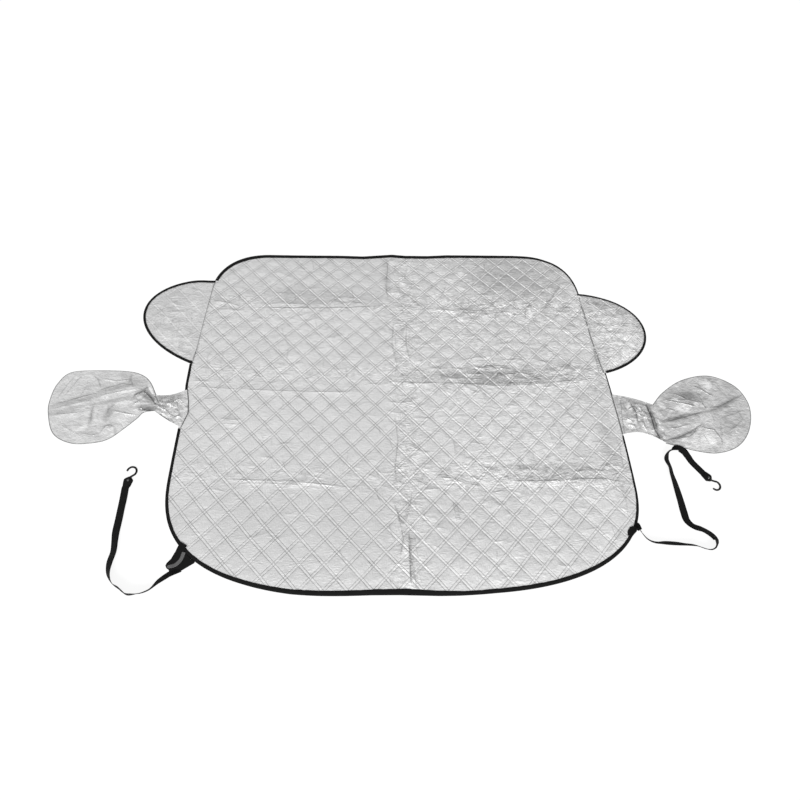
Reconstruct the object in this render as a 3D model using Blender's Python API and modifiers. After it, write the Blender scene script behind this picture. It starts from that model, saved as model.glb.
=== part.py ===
"""Windshield frost cover, lying flat.

A quilted foil panel is bound round its rim with folded tape.  On each side it carries a
quilted flap that shuts into the door, a film pocket that slips over the door mirror, and an
elastic strap with a wire hook.  X runs across the panel, Y from its lower to its upper
edge and Z up.  The origin is on the panel's underside, at its middle.
"""
import math

import bmesh
import bpy
import numpy as np
from mathutils import Matrix

CLEARANCE = 0.0003            # gap between pieces that are sewn or laid together

# Panel outline: straight top and bottom edges, bowed sides and superelliptic corners
BOTTOM_Y = -0.599
BOTTOM_STRAIGHT = 0.100       # half of the straight part of the bottom edge
TOP_STRAIGHT = 0.472          # half of the straight part of the top edge
TOP_CORNER_Y = 0.400          # where the upper corners begin
TOP_CORNER_POWER = 2.3
CORNER_STEPS = 14
CUT_LOW, CUT_HIGH = -0.02, 0.05   # heights between which cutters and guides reach
SIDE_STEPS = 6

# Each side as the cloth lies: widest half width, its height on the panel, half width at the
# upper corner, power of the lower corner's curve, and the height of the top edge
OUTLINE = {
    "left": {"sign": -1, "wide": 0.703, "wide_y": -0.260, "shoulder": 0.679,
             "power": 2.6, "top_y": 0.587},
    "right": {"sign": 1, "wide": 0.716, "wide_y": -0.288, "shoulder": 0.664,
              "power": 2.55, "top_y": 0.607},
}

# Binding tape, folded round the rim, and the pressed rim inside it
TAPE_WIDTH = 0.012
TAPE_THICK = 0.0006
RIM_THICK = 0.0016
RIM_LOW = TAPE_THICK + CLEARANCE
RIM_HIGH = RIM_LOW + RIM_THICK
TAPE_HIGH = RIM_HIGH + CLEARANCE + TAPE_THICK
RIM_INSET = TAPE_THICK + CLEARANCE
BODY_INSET = TAPE_WIDTH + CLEARANCE

# Quilting: square cushions set corner up, flat close to the rim
QUILT_PITCH = 0.0494
QUILT_CORNER = (0.0125, 0.0065)   # a place on the panel where stitch lines cross
STITCH_LEVEL = RIM_HIGH + CLEARANCE
CUSHION_RISE = 0.0038
FLAT_MARGIN = 0.024
RISE_MARGIN = 0.030

# Fold lines left from packing
CROSS_FOLDS_Y = (0.360, 0.028, -0.283)
LONG_FOLD_X = 0.003
FOLD_RISE = 0.0040
FOLD_SPREAD = 0.022

# Side flaps: parts of an ellipse, which lean upward by a share of their reach
FLAP = {
    "left": {"centre": (0.571, 0.273), "reach": 0.322, "half_height": 0.190, "lean": 0.153},
    "right": {"centre": (0.6325, 0.260), "reach": 0.248, "half_height": 0.170, "lean": 0.051},
}
FLAP_STEPS = 24
FLAP_SETBACK = 0.0015         # gap along X between the ends of the flap's tape and the panel
TONGUE_LOW = 0.0001           # seam allowances that lie under the panel's rim
TONGUE_HIGH = TAPE_THICK
TONGUE_DEPTH = 0.0110

# What lies beside the panel is placed by (outward, y): outward runs away from the panel's
# middle and is counted from the widest place of that side of the panel

# Mirror necks: film strips from the panel's side to the pocket's mouth
NECK = {
    "left": {"panel": (0.026, -0.107), "end": ((0.087, 0.005), (0.078, -0.050)),
             "waist": (0.010, -0.003), "rise": 0.010},
    "right": {"panel": (0.020, -0.124), "end": ((0.120, -0.018), (0.133, -0.154)),
              "waist": (-0.006, 0.027), "rise": 0.006},
}
NECK_PLEATS = 4
NECK_ROWS = 10
NECK_COLUMNS = 24
NECK_LOW = 0.0022
NECK_START = 0.0010           # where the neck's film rises beside the panel's edge
NECK_SEAM_SHARE = 0.35        # height of the pleats at the seam, as a share of their full rise
NECK_CROWN_SHARE = 0.35       # share of the rise that is a plain arch

# Mirror pockets: flat bags of film, outlines from the mouth's lower end round the tip
POCKET_OUTLINE = {
    "left": ((0.078, -0.050), (0.113, -0.057), (0.129, -0.077), (0.162, -0.112),
             (0.196, -0.143), (0.234, -0.157), (0.306, -0.160), (0.368, -0.129),
             (0.402, -0.060), (0.409, -0.010), (0.401, 0.042), (0.367, 0.083),
             (0.269, 0.0905), (0.184, 0.087), (0.140, 0.073), (0.112, 0.048), (0.087, 0.005)),
    "right": ((0.133, -0.154), (0.170, -0.164), (0.229, -0.180), (0.294, -0.187),
              (0.364, -0.168), (0.416, -0.125), (0.450, -0.062), (0.457, 0.000),
              (0.427, 0.059), (0.348, 0.095), (0.250, 0.078), (0.170, 0.031), (0.120, -0.018)),
}
POCKET_EDGE = 0.0024
POCKET_RISE = 0.0085
POCKET_RINGS = 9
POCKET_SECTORS = 44
MOUTH_STEPS = 6
GATHER_DEPTH = 0.0045
GATHER_REACH = 0.110
GATHERS = 11
# Sewn mouth hem that crosses each pocket, as points along its ridge
HEM_LINE = {
    "left": ((0.405, 0.002), (0.262, 0.022), (0.132, 0.030)),
    "right": ((0.449, 0.022), (0.319, -0.036), (0.174, -0.080)),
}
HEM_RISE = 0.0030
HEM_HALF_WIDTH = 0.011
HEM_FADE = 0.6                # how much of the hem's rise is lost at the pocket's edge

# Straps: elastic webbing, partly on edge, as (outward, y, turn in degrees) from tab to hook
STRAP_WIDTH = 0.020
STRAP_THICK = 0.0012
FLOOR_GAP = 0.0002
STRAP_STEPS = {"left": 46, "right": 72}
STRAP_ROUTE = {
    "left": ((-0.0551, -0.5325, 18), (-0.0460, -0.5396, 23), (-0.029, -0.554, 36),
             (-0.012, -0.574, 64), (0.007, -0.584, 79), (0.028, -0.588, 85),
             (0.046, -0.587, 94), (0.058, -0.579, 101), (0.071, -0.571, 106),
             (0.085, -0.562, 110), (0.096, -0.549, 122), (0.106, -0.529, 142),
             (0.111, -0.504, 152), (0.108, -0.476, 160), (0.109, -0.448, 165),
             (0.113, -0.422, 172), (0.114, -0.390, 175), (0.1145, -0.358, 178),
             (0.1150, -0.328, 180)),
    "right": ((-0.0175, -0.4271, -62), (-0.0126, -0.4381, -60), (-0.005, -0.452, -58),
              (0.008, -0.462, -58), (0.028, -0.466, -60), (0.052, -0.467, -51),
              (0.082, -0.469, -49), (0.108, -0.472, -61), (0.135, -0.475, -67),
              (0.157, -0.483, -66), (0.177, -0.487, -77), (0.196, -0.479, -118),
              (0.207, -0.466, -139), (0.210, -0.453, -155), (0.196, -0.438, -157),
              (0.171, -0.426, -152), (0.148, -0.417, -161), (0.137, -0.399, -180),
              (0.134, -0.375, -185), (0.133, -0.344, -176), (0.129, -0.313, -168),
              (0.125, -0.285, -155), (0.124, -0.257, -147), (0.123, -0.234, -143),
              (0.120, -0.210, -152), (0.124, -0.195, -138), (0.134, -0.186, -102),
              (0.148, -0.183, -62), (0.163, -0.184, -28), (0.177, -0.189, -6),
              (0.1906, -0.1988, 0), (0.2040, -0.2160, 0)),
}

# Strap tabs: webbing sewn on over the binding, a fold outside and a patch on the panel
TAB_HIGH = 0.0044
PATCH_LOW = TAPE_HIGH + CLEARANCE
PATCH_THICK = 0.0012
TAB_FOLD = {
    "left": ((-0.0710, -0.4560), (-0.0578, -0.4812), (-0.0515, -0.4965), (-0.0420, -0.5070),
             (-0.0395, -0.5140), (-0.0435, -0.5210), (-0.0493, -0.5246), (-0.0614, -0.5401),
             (-0.0758, -0.5325), (-0.0980, -0.5187), (-0.1152, -0.5080), (-0.1190, -0.4940),
             (-0.1030, -0.4800)),
    "right": ((-0.0400, -0.4060), (-0.0229, -0.4040), (-0.0160, -0.4090), (-0.0120, -0.4243),
              (-0.0232, -0.4293), (-0.0280, -0.4250), (-0.0360, -0.4280), (-0.0540, -0.4400)),
}
TAB_PATCH = {
    "left": ((-0.0695, -0.4511), (-0.0889, -0.4614), (-0.0845, -0.4725), (-0.0790, -0.4980),
             (-0.0570, -0.4880), (-0.0630, -0.4670)),
    "right": ((-0.0470, -0.4180), (-0.0560, -0.4280), (-0.0595, -0.4400), (-0.0520, -0.4500),
              (-0.0300, -0.4310), (-0.0230, -0.4120)),
}

# Strap ends: the webbing folded to a blunt point over the hook's shank, and riveted
END_LENGTH = 0.027
END_WIDTH = 0.027
END_POINT = 0.009
END_NOSE = 0.005              # half width of the blunt point
END_FLARE = 0.008
END_HIGH = 0.0068
END_BEVEL = 0.0012
END_START = {"left": (0.1142, -0.2912), "right": (0.2287, -0.2554)}
END_HEADING = {"left": 80.0, "right": -54.0}
END_LEAD = 0.006              # spacing of the straight stretch of webbing before the end

# Hooks: round wire, an open ring and a shank that runs into the strap's end.  Each ring is
# given by its centre and the turns, in degrees, of its tip and of where the shank leaves it
HOOK_WIRE = 0.0046
HOOK_RADIUS = 0.0137
HOOK_STEPS = 26
RING_STEPS = 12
SHANK_HIGH = 0.0036           # height of the shank's middle inside the strap's end
SHANK_IN = 0.011
HOOK = {
    "left": {"centre": (0.1076, -0.2479), "tip": 178.0, "leave": -65.0},
    "right": {"centre": (0.2558, -0.2935), "tip": -146.0, "leave": 87.0},
}
RIVET_RADIUS = 0.0036
RIVET_TOP_RADIUS = 0.0026
RIVET_HIGH = 0.0012
RIVET_ALONG = 0.0165          # from the start of the strap's end

# Finish of each piece, by the end of its name: colour, roughness and metallic value
FINISH = {
    "panel": ((0.60, 0.61, 0.62), 0.40, 0.5),
    "flap": ((0.60, 0.61, 0.62), 0.40, 0.5),
    "neck": ((0.64, 0.65, 0.66), 0.30, 0.6),
    "pocket": ((0.64, 0.65, 0.66), 0.30, 0.6),
    "binding": ((0.012, 0.012, 0.013), 0.85, 0.0),
    "tab": ((0.015, 0.015, 0.016), 0.80, 0.0),
    "strap": ((0.015, 0.015, 0.016), 0.90, 0.0),
    "end": ((0.015, 0.015, 0.016), 0.80, 0.0),
    "hook": ((0.010, 0.010, 0.011), 0.35, 0.0),
    "rivet": ((0.35, 0.35, 0.36), 0.35, 1.0),
}


def clear_scene():
    """Remove whatever the open file holds."""
    for old in list(bpy.data.objects):
        bpy.data.objects.remove(old, do_unlink=True)


def make_collection(name):
    """A new collection in the scene."""
    made = bpy.data.collections.new(name)
    bpy.context.scene.collection.children.link(made)
    return made


def paint(item):
    """Give a piece its own Principled material."""
    colour, roughness, metallic = FINISH[item.name.split("_")[-1]]
    made = bpy.data.materials.new(item.name)
    made.use_nodes = True
    shader = made.node_tree.nodes["Principled BSDF"]
    shader.inputs["Base Color"].default_value = (*colour, 1.0)
    shader.inputs["Roughness"].default_value = roughness
    shader.inputs["Metallic"].default_value = metallic
    item.data.materials.clear()
    item.data.materials.append(made)


def add_object(name, data, home):
    """Link a datablock into a collection as a named object."""
    made = bpy.data.objects.new(name, data)
    home.objects.link(made)
    return made


def mark_guide(item):
    """Show a cutter or guide as wire and keep it out of the build."""
    item.hide_render = True
    item.display_type = "WIRE"


def mesh_object(name, body, home):
    """Turn an edit mesh into a named object."""
    data = bpy.data.meshes.new(name)
    body.to_mesh(data)
    body.free()
    return add_object(name, data, home)


def curve_to_mesh(item, home):
    """Replace a curve object by its evaluated mesh, with the caps welded on."""
    depsgraph = bpy.context.evaluated_depsgraph_get()
    data = bpy.data.meshes.new_from_object(item.evaluated_get(depsgraph))
    name, place = item.name, item.matrix_world.copy()
    bpy.data.objects.remove(item, do_unlink=True)
    body = bmesh.new()
    body.from_mesh(data)
    bmesh.ops.remove_doubles(body, verts=body.verts, dist=0.00001)
    bmesh.ops.recalc_face_normals(body, faces=body.faces)
    body.to_mesh(data)
    body.free()
    data.name = name
    made = add_object(name, data, home)
    made.matrix_world = place
    return made


def flat_plate(name, outline, low, high, home):
    """A level plate between two heights, filled from a closed outline."""
    data = bpy.data.curves.new(name, "CURVE")
    data.dimensions = "2D"
    data.fill_mode = "BOTH"
    data.extrude = (high - low) / 2
    spline = data.splines.new("POLY")
    spline.points.add(len(outline) - 1)
    for point, (x, y) in zip(spline.points, outline):
        point.co = (x, y, 0.0, 1.0)
    spline.use_cyclic_u = True
    item = add_object(name, data, home)
    item.location.z = (high + low) / 2
    bpy.context.view_layer.update()
    return curve_to_mesh(item, home)


def boolean(target, tool, operation):
    """Join, cut or keep the common part of two closed meshes."""
    modifier = target.modifiers.new(tool.name, "BOOLEAN")
    modifier.operation = operation
    modifier.object = tool
    modifier.solver = "EXACT"
    mark_guide(tool)


def smooth_curve(points, steps, closed=False):
    """Catmull-Rom curve through the points, read at evenly spaced distances."""
    base = np.array(points, dtype=float)
    if closed:
        knots = np.vstack([base[-1], base, base[0], base[1]])
    else:
        knots = np.vstack([2 * base[0] - base[1], base, 2 * base[-1] - base[-2]])
    share = np.linspace(0.0, 1.0, 24, endpoint=False)[:, None]
    spans = []
    for before, start, end, after in zip(knots, knots[1:], knots[2:], knots[3:]):
        spans.append(0.5 * (2 * start + (end - before) * share
                            + (2 * before - 5 * start + 4 * end - after) * share ** 2
                            + (3 * start - before - 3 * end + after) * share ** 3))
    fine = np.vstack(spans + [knots[-2:-1]])
    travel = np.append(0.0, np.cumsum(np.linalg.norm(np.diff(fine[:, :2], axis=0), axis=1)))
    marks = np.linspace(0.0, travel[-1], steps + 1)
    if closed:
        marks = marks[:-1]
    return np.stack([np.interp(marks, travel, fine[:, k]) for k in range(fine.shape[1])], axis=1)


def beside(side, points):
    """Places on the floor from points given outward from the side's widest place."""
    shape = OUTLINE[side]
    placed = np.array(points, dtype=float)
    placed[:, 0] = shape["sign"] * (shape["wide"] + placed[:, 0])
    return placed


def side_width(side, y):
    """Half width of the panel at a height between its widest place and its upper corner."""
    shape = OUTLINE[side]
    share = (y - shape["wide_y"]) / (TOP_CORNER_Y - shape["wide_y"])
    return shape["wide"] - (shape["wide"] - shape["shoulder"]) * share ** 2


def edge_width(side, y):
    """Half width of the panel at a height on its side or its upper corner."""
    edge = half_outline(side)
    upper = edge[CORNER_STEPS:]
    return np.interp(y, upper[:, 1], upper[:, 0])


def half_outline(side):
    """One side of the panel's edge from the bottom middle to the top middle, X outward."""
    shape = OUTLINE[side]
    turn = np.linspace(0.0, math.pi / 2, CORNER_STEPS + 1)
    power = 2 / shape["power"]
    lower_x = BOTTOM_STRAIGHT + (shape["wide"] - BOTTOM_STRAIGHT) * np.sin(turn) ** power
    lower_y = shape["wide_y"] - (shape["wide_y"] - BOTTOM_Y) * np.abs(np.cos(turn)) ** power
    bow_y = np.linspace(shape["wide_y"], TOP_CORNER_Y, SIDE_STEPS + 1)[1:-1]
    power = 2 / TOP_CORNER_POWER
    upper_x = TOP_STRAIGHT + (shape["shoulder"] - TOP_STRAIGHT) * np.abs(np.cos(turn)) ** power
    upper_y = TOP_CORNER_Y + (shape["top_y"] - TOP_CORNER_Y) * np.sin(turn) ** power
    x = np.concatenate([lower_x, side_width(side, bow_y), upper_x])
    y = np.concatenate([lower_y, bow_y, upper_y])
    return np.stack([x, y], axis=1)


def panel_outline(inset=0.0):
    """The panel's closed edge, counterclockwise, moved inward by the inset."""
    right = half_outline("right")
    left = half_outline("left")[::-1] * (-1, 1)
    edge = np.vstack([right, left])
    ahead = np.roll(edge, -1, axis=0) - edge
    behind = edge - np.roll(edge, 1, axis=0)
    run = (ahead / np.linalg.norm(ahead, axis=1)[:, None]
           + behind / np.linalg.norm(behind, axis=1)[:, None])
    run /= np.linalg.norm(run, axis=1)[:, None]
    inward = np.stack([-run[:, 1], run[:, 0]], axis=1)
    return edge + inward * inset


def flap_curve(side, turn, inset=0.0):
    """Points of the flap's ellipse at the given turns, X outward, moved inward by the inset."""
    shape = FLAP[side]
    reach, half_height = shape["reach"], shape["half_height"]
    x = reach * np.cos(turn)
    y = half_height * np.sin(turn) + shape["lean"] * x
    outward = np.stack([half_height * np.cos(turn) - shape["lean"] * reach * np.sin(turn),
                        reach * np.sin(turn)], axis=1)
    outward /= np.linalg.norm(outward, axis=1)[:, None]
    return np.array(shape["centre"]) + np.stack([x, y], axis=1) - outward * inset


def flap_joint(side, end, outset=0.0):
    """Turn of the flap's ellipse where it meets the panel's edge, above or below."""
    turn = end * np.linspace(math.pi / 2, 0.2, 400)
    edge = flap_curve(side, turn)
    gap = edge[:, 0] - edge_width(side, edge[:, 1])
    return turn[np.argmax(gap > outset)]


def flap_turns(side):
    """Turns of the points along the flap's free edge, from its lower to its upper end."""
    return np.linspace(flap_joint(side, -1, FLAP_SETBACK), flap_joint(side, 1, FLAP_SETBACK),
                       FLAP_STEPS)


def flap_outline(side, inset=0.0):
    """Free edge of a side flap, carried on inside the panel and closed by a straight line."""
    sign = OUTLINE[side]["sign"]
    turn = flap_turns(side)
    step = turn[1] - turn[0]
    turn = np.concatenate([turn[:1] - step, turn, turn[-1:] + step])
    return (flap_curve(side, turn, inset) * (sign, 1))[::sign]


def margin_share(points, edge):
    """How far each point is inside an edge, from 0 at the flat margin to 1 beyond the rise."""
    gap = np.min(np.linalg.norm(points[:, None, :] - edge[None, :, :], axis=2), axis=1)
    share = np.clip((gap - FLAT_MARGIN) / RISE_MARGIN, 0.0, 1.0)
    return share * share * (3 - 2 * share)


def fold_height(points):
    """Rise of the cloth along the packing folds."""
    rise = np.exp(-((points[:, 0] - LONG_FOLD_X) / FOLD_SPREAD) ** 2)
    for fold_y in CROSS_FOLDS_Y:
        rise = np.maximum(rise, np.exp(-((points[:, 1] - fold_y) / FOLD_SPREAD) ** 2))
    return FOLD_RISE * rise


def close_below(body):
    """Give an open height surface a skirt down to the floor and a level underside."""
    edges = [edge for edge in body.edges if edge.is_boundary]
    skirt = bmesh.ops.extrude_edge_only(body, edges=edges)["geom"]
    for corner in skirt:
        if isinstance(corner, bmesh.types.BMVert):
            corner.co.z = 0.0
    rim = [edge for edge in body.edges if edge.is_boundary]
    bmesh.ops.holes_fill(body, edges=rim, sides=0)
    bmesh.ops.recalc_face_normals(body, faces=body.faces)


def quilted_block(name, corner, edge, home):
    """Block of raised square cushions with a stitch crossing at the corner, over an edge."""
    body = bmesh.new()
    reach = np.abs(edge - corner).max(axis=0) + QUILT_PITCH
    count = 2 * math.ceil(reach.sum() / math.sqrt(2) / QUILT_PITCH)
    turned = Matrix.Translation((*corner, 0.0)) @ Matrix.Rotation(math.pi / 4, 4, "Z")
    bmesh.ops.create_grid(body, x_segments=count, y_segments=count,
                          size=count * QUILT_PITCH / 2, matrix=turned)
    middles = np.array([face.calc_center_median()[:2] for face in body.faces])
    outside = (np.abs(middles - corner) > reach).any(axis=1)
    far = [face for face, drop in zip(body.faces, outside) if drop]
    bmesh.ops.delete(body, geom=far, context="FACES")
    tops = set(bmesh.ops.poke(body, faces=body.faces[:])["verts"])
    flat = np.array([vertex.co[:2] for vertex in body.verts])
    raised = np.array([vertex in tops for vertex in body.verts], dtype=float)
    height = fold_height(flat) + CUSHION_RISE * raised
    for vertex, level in zip(body.verts, STITCH_LEVEL + height * margin_share(flat, edge)):
        vertex.co.z = level
    close_below(body)
    return mesh_object(name, body, home)


def make_panel(parts, guides):
    """Quilted body within the binding, with a thin pressed rim all round."""
    body_edge = panel_outline(BODY_INSET)
    panel = quilted_block("quilted_panel", QUILT_CORNER, body_edge, parts)
    body = flat_plate("panel_body_guide", body_edge, CUT_LOW, CUT_HIGH, guides)
    boolean(panel, body, "INTERSECT")
    rim = flat_plate("panel_rim_guide", panel_outline(RIM_INSET), RIM_LOW, RIM_HIGH, guides)
    boolean(panel, rim, "UNION")
    return panel


def make_flap(side, parts, guides):
    """Quilted side flap with its seam allowance under the panel's rim."""
    body_edge = flap_outline(side, BODY_INSET)
    middle = (body_edge.min(axis=0) + body_edge.max(axis=0)) / 2
    flap = quilted_block(side + "_side_flap", middle, body_edge, parts)
    label = side + "_flap_"
    body = flat_plate(label + "body_guide", body_edge, CUT_LOW, CUT_HIGH, guides)
    boolean(flap, body, "INTERSECT")
    rim = flat_plate(label + "rim_guide", flap_outline(side, RIM_INSET), RIM_LOW, RIM_HIGH, guides)
    boolean(flap, rim, "UNION")
    seam = flat_plate(label + "seam_cutter", panel_outline(), 2 * CUT_LOW, 2 * CUT_HIGH, guides)
    boolean(flap, seam, "DIFFERENCE")
    tongue = flat_plate(label + "tongue_guide", body_edge, TONGUE_LOW, TONGUE_HIGH, guides)
    inner = panel_outline(TONGUE_DEPTH)
    inner = flat_plate(label + "tongue_cutter", inner, CUT_LOW, CUT_HIGH, guides)
    boolean(tongue, inner, "DIFFERENCE")
    boolean(flap, tongue, "UNION")
    return flap


def tape_section(guides):
    """Closed section of the folded binding tape, its open side towards the panel."""
    data = bpy.data.curves.new("tape_section", "CURVE")
    data.dimensions = "2D"
    data.fill_mode = "NONE"
    inner = TAPE_THICK
    corners = ((0.0, 0.0), (0.0, TAPE_HIGH), (TAPE_WIDTH, TAPE_HIGH),
               (TAPE_WIDTH, TAPE_HIGH - TAPE_THICK), (inner, TAPE_HIGH - TAPE_THICK),
               (inner, TAPE_THICK), (TAPE_WIDTH, TAPE_THICK), (TAPE_WIDTH, 0.0))
    spline = data.splines.new("POLY")
    spline.points.add(len(corners) - 1)
    for point, (across, up) in zip(spline.points, corners):
        point.co = (-across, up, 0.0, 1.0)
    spline.use_cyclic_u = True
    section = add_object("tape_section", data, guides)
    mark_guide(section)
    return section


def make_binding(name, path, section, parts, guides):
    """Tape swept along an open stretch of edge, with the panel on the left of the path."""
    data = bpy.data.curves.new(name, "CURVE")
    data.dimensions = "3D"
    data.twist_mode = "Z_UP"
    data.bevel_mode = "OBJECT"
    data.bevel_object = section
    data.use_fill_caps = True
    spline = data.splines.new("POLY")
    spline.points.add(len(path) - 1)
    for point, (x, y) in zip(spline.points, path):
        point.co = (x, y, 0.0, 1.0)
    item = add_object(name, data, parts)
    bpy.context.view_layer.update()
    return curve_to_mesh(item, parts)


def edge_stretch(side, low, high):
    """Points of the panel's side edge between two heights, X outward, going up."""
    edge = half_outline(side)
    inside = edge[(edge[:, 1] > low + 0.004) & (edge[:, 1] < high - 0.004)]
    start = (side_width(side, low), low)
    end = (side_width(side, high), high)
    return np.vstack([start, inside, end])


def make_panel_bindings(section, parts, guides):
    """Four stretches of panel binding, which stop at the flap and neck seams."""
    lower, upper = {}, {}
    for side in OUTLINE:
        shape = OUTLINE[side]
        neck_top, neck_low = NECK[side]["panel"]
        ends = np.array([flap_joint(side, -1), flap_joint(side, 1)])
        flap_low, flap_top = flap_curve(side, ends)[:, 1]
        short = edge_stretch(side, neck_top + 0.001, flap_low - 0.001)
        short = short * (shape["sign"], 1)
        make_binding(side + "_side_binding", short[::shape["sign"]], section, parts, guides)
        edge = half_outline(side)
        below = edge[edge[:, 1] < neck_low - 0.006]
        stop = neck_low - 0.001
        lower[side] = np.vstack([below, (side_width(side, stop), stop)]) * (shape["sign"], 1)
        above = edge[edge[:, 1] > flap_top + 0.006]
        upper[side] = above * (shape["sign"], 1)
    bottom = np.vstack([lower["left"][::-1], lower["right"]])
    make_binding("bottom_binding", bottom, section, parts, guides)
    top = np.vstack([upper["right"], upper["left"][::-1]])
    make_binding("top_binding", top, section, parts, guides)


def make_flap_binding(side, section, parts, guides):
    """Tape round the curved edge of a flap, from the panel's side and back to it."""
    sign = OUTLINE[side]["sign"]
    path = (flap_curve(side, flap_turns(side)) * (sign, 1))[::sign]
    make_binding(side + "_flap_binding", path, section, parts, guides)


def height_grid(name, rows, home):
    """Closed solid under rows of points, with a skirt down to the floor."""
    body = bmesh.new()
    count_rows, count_across = rows.shape[:2]
    bmesh.ops.create_grid(body, x_segments=count_across - 1, y_segments=count_rows - 1)
    for vertex, place in zip(body.verts, rows.reshape(-1, 3)):
        vertex.co = place
    bmesh.ops.remove_doubles(body, verts=body.verts, dist=0.00001)
    close_below(body)
    return mesh_object(name, body, home)


def make_neck(side, parts):
    """Film strip that narrows from the panel's side to the pocket's mouth in long pleats."""
    shape = NECK[side]
    sign = OUTLINE[side]["sign"]
    top_y, low_y = shape["panel"]
    end_top, end_low = beside(side, shape["end"]) - (sign * CLEARANCE, 0.0)
    waist_top, waist_low = shape["waist"]
    across = np.linspace(0.0, 1.0, NECK_COLUMNS + 1)
    seam_y = low_y + (top_y - low_y) * across
    seam = np.stack([sign * side_width(side, seam_y), seam_y], axis=1)
    mouth = end_low + (end_top - end_low) * across[:, None]
    away = np.array([sign, 0.0])
    level = np.full(len(seam), TONGUE_HIGH)
    rows = [np.column_stack([seam - away * TONGUE_DEPTH, level]), np.column_stack([seam, level])]
    pleat = 0.5 - 0.5 * np.cos(2 * math.pi * NECK_PLEATS * across)
    crown = np.sqrt(np.sin(math.pi * across))
    form = NECK_CROWN_SHARE * crown + (1 - NECK_CROWN_SHARE) * pleat
    start = seam + away * NECK_START
    for share in np.linspace(0.0, 1.0, NECK_ROWS + 1):
        place = start + (mouth - start) * share
        bow = math.sin(math.pi * share)
        place[:, 1] += bow * (waist_low * (1 - across) - waist_top * across)
        growth = NECK_SEAM_SHARE + (1 - NECK_SEAM_SHARE) * share
        rows.append(np.column_stack([place, NECK_LOW + shape["rise"] * growth * form]))
    return height_grid(side + "_mirror_neck", np.array(rows), parts)


def distance_to_line(points, line):
    """Shortest distance from each point to a line of straight stretches."""
    best = np.full(len(points), np.inf)
    for start, end in zip(line, line[1:]):
        run = end - start
        share = np.clip((points - start) @ run / (run @ run), 0.0, 1.0)
        best = np.minimum(best, np.linalg.norm(points - start - share[:, None] * run, axis=1))
    return best


def pocket_height(side, points, radius):
    """Height of the pocket's film: a low dome, gathers at the mouth and a raised hem."""
    mouth = np.mean(beside(side, NECK[side]["end"]), axis=0)
    reach = (points - mouth) * (OUTLINE[side]["sign"], 1)
    fan = np.arctan2(reach[:, 1], reach[:, 0])
    near = np.exp(-(np.linalg.norm(reach, axis=1) / GATHER_REACH) ** 2)
    gather = GATHER_DEPTH * near * (0.5 + 0.5 * np.cos(GATHERS * fan))
    ridge = distance_to_line(points, beside(side, HEM_LINE[side]))
    hem = np.exp(-(ridge / HEM_HALF_WIDTH) ** 2)
    dome = POCKET_EDGE + POCKET_RISE * (1 - radius ** 2)
    return dome + gather + HEM_RISE * hem * (1 - HEM_FADE * radius ** 4)


def make_pocket(side, parts):
    """Flat film bag as rings from its middle out to its edge."""
    outline = smooth_curve(beside(side, POCKET_OUTLINE[side]), POCKET_SECTORS)
    mouth = np.linspace(outline[-1], outline[0], MOUTH_STEPS + 1)[1:]
    loop = np.vstack([outline, mouth])
    middle = np.mean(outline, axis=0)
    rows = []
    for radius in np.linspace(0.0, 1.0, POCKET_RINGS + 1):
        place = middle + (loop - middle) * radius
        rows.append(np.column_stack([place, pocket_height(side, place, radius)]))
    return height_grid(side + "_mirror_pocket", np.array(rows), parts)


def end_place(side):
    """Start of the strap's folded end and the unit vector along it, both level."""
    turn = math.radians(END_HEADING[side])
    run = np.array([math.cos(turn), math.sin(turn)])
    return beside(side, [END_START[side]])[0], run


def make_strap(side, parts):
    """Ribbon of webbing along its route, turned about it, with its lower edge on the floor."""
    place, run = end_place(side)
    flat = STRAP_ROUTE[side][-1][2]
    lead = [(*(place - run * (CLEARANCE + END_LEAD * back)), flat) for back in (2, 1, 0)]
    route = smooth_curve([*beside(side, STRAP_ROUTE[side]), *lead], STRAP_STEPS[side])
    turn = np.radians(route[:, 2])
    height = (FLOOR_GAP + STRAP_WIDTH / 2 * np.abs(np.sin(turn))
              + STRAP_THICK / 2 * np.abs(np.cos(turn)))
    data = bpy.data.curves.new(side + "_strap", "CURVE")
    data.dimensions = "3D"
    data.twist_mode = "Z_UP"
    data.extrude = STRAP_WIDTH / 2
    spline = data.splines.new("POLY")
    spline.points.add(len(route) - 1)
    for point, (x, y, _), z, tilt in zip(spline.points, route, height, turn):
        point.co = (x, y, z, 1.0)
        point.tilt = tilt + math.pi / 2
    item = add_object(side + "_strap", data, parts)
    bpy.context.view_layer.update()
    strap = curve_to_mesh(item, parts)
    strap.modifiers.new("split_faces", "TRIANGULATE")
    wall = strap.modifiers.new("wall", "SOLIDIFY")
    wall.thickness = STRAP_THICK
    wall.offset = 0.0
    return strap


def make_tab(side, parts, guides):
    """Folded webbing outside the binding, joined to the patch that is sewn on the panel."""
    name = side + "_strap_tab"
    tab = flat_plate(name, beside(side, TAB_FOLD[side]), TONGUE_LOW, TAB_HIGH, parts)
    keep = flat_plate(name + "_cutter", panel_outline(-CLEARANCE), CUT_LOW, CUT_HIGH, guides)
    boolean(tab, keep, "DIFFERENCE")
    outline = beside(side, TAB_PATCH[side])
    patch = flat_plate(name + "_patch", outline, PATCH_LOW, PATCH_LOW + PATCH_THICK, guides)
    boolean(tab, patch, "UNION")
    return tab


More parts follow.
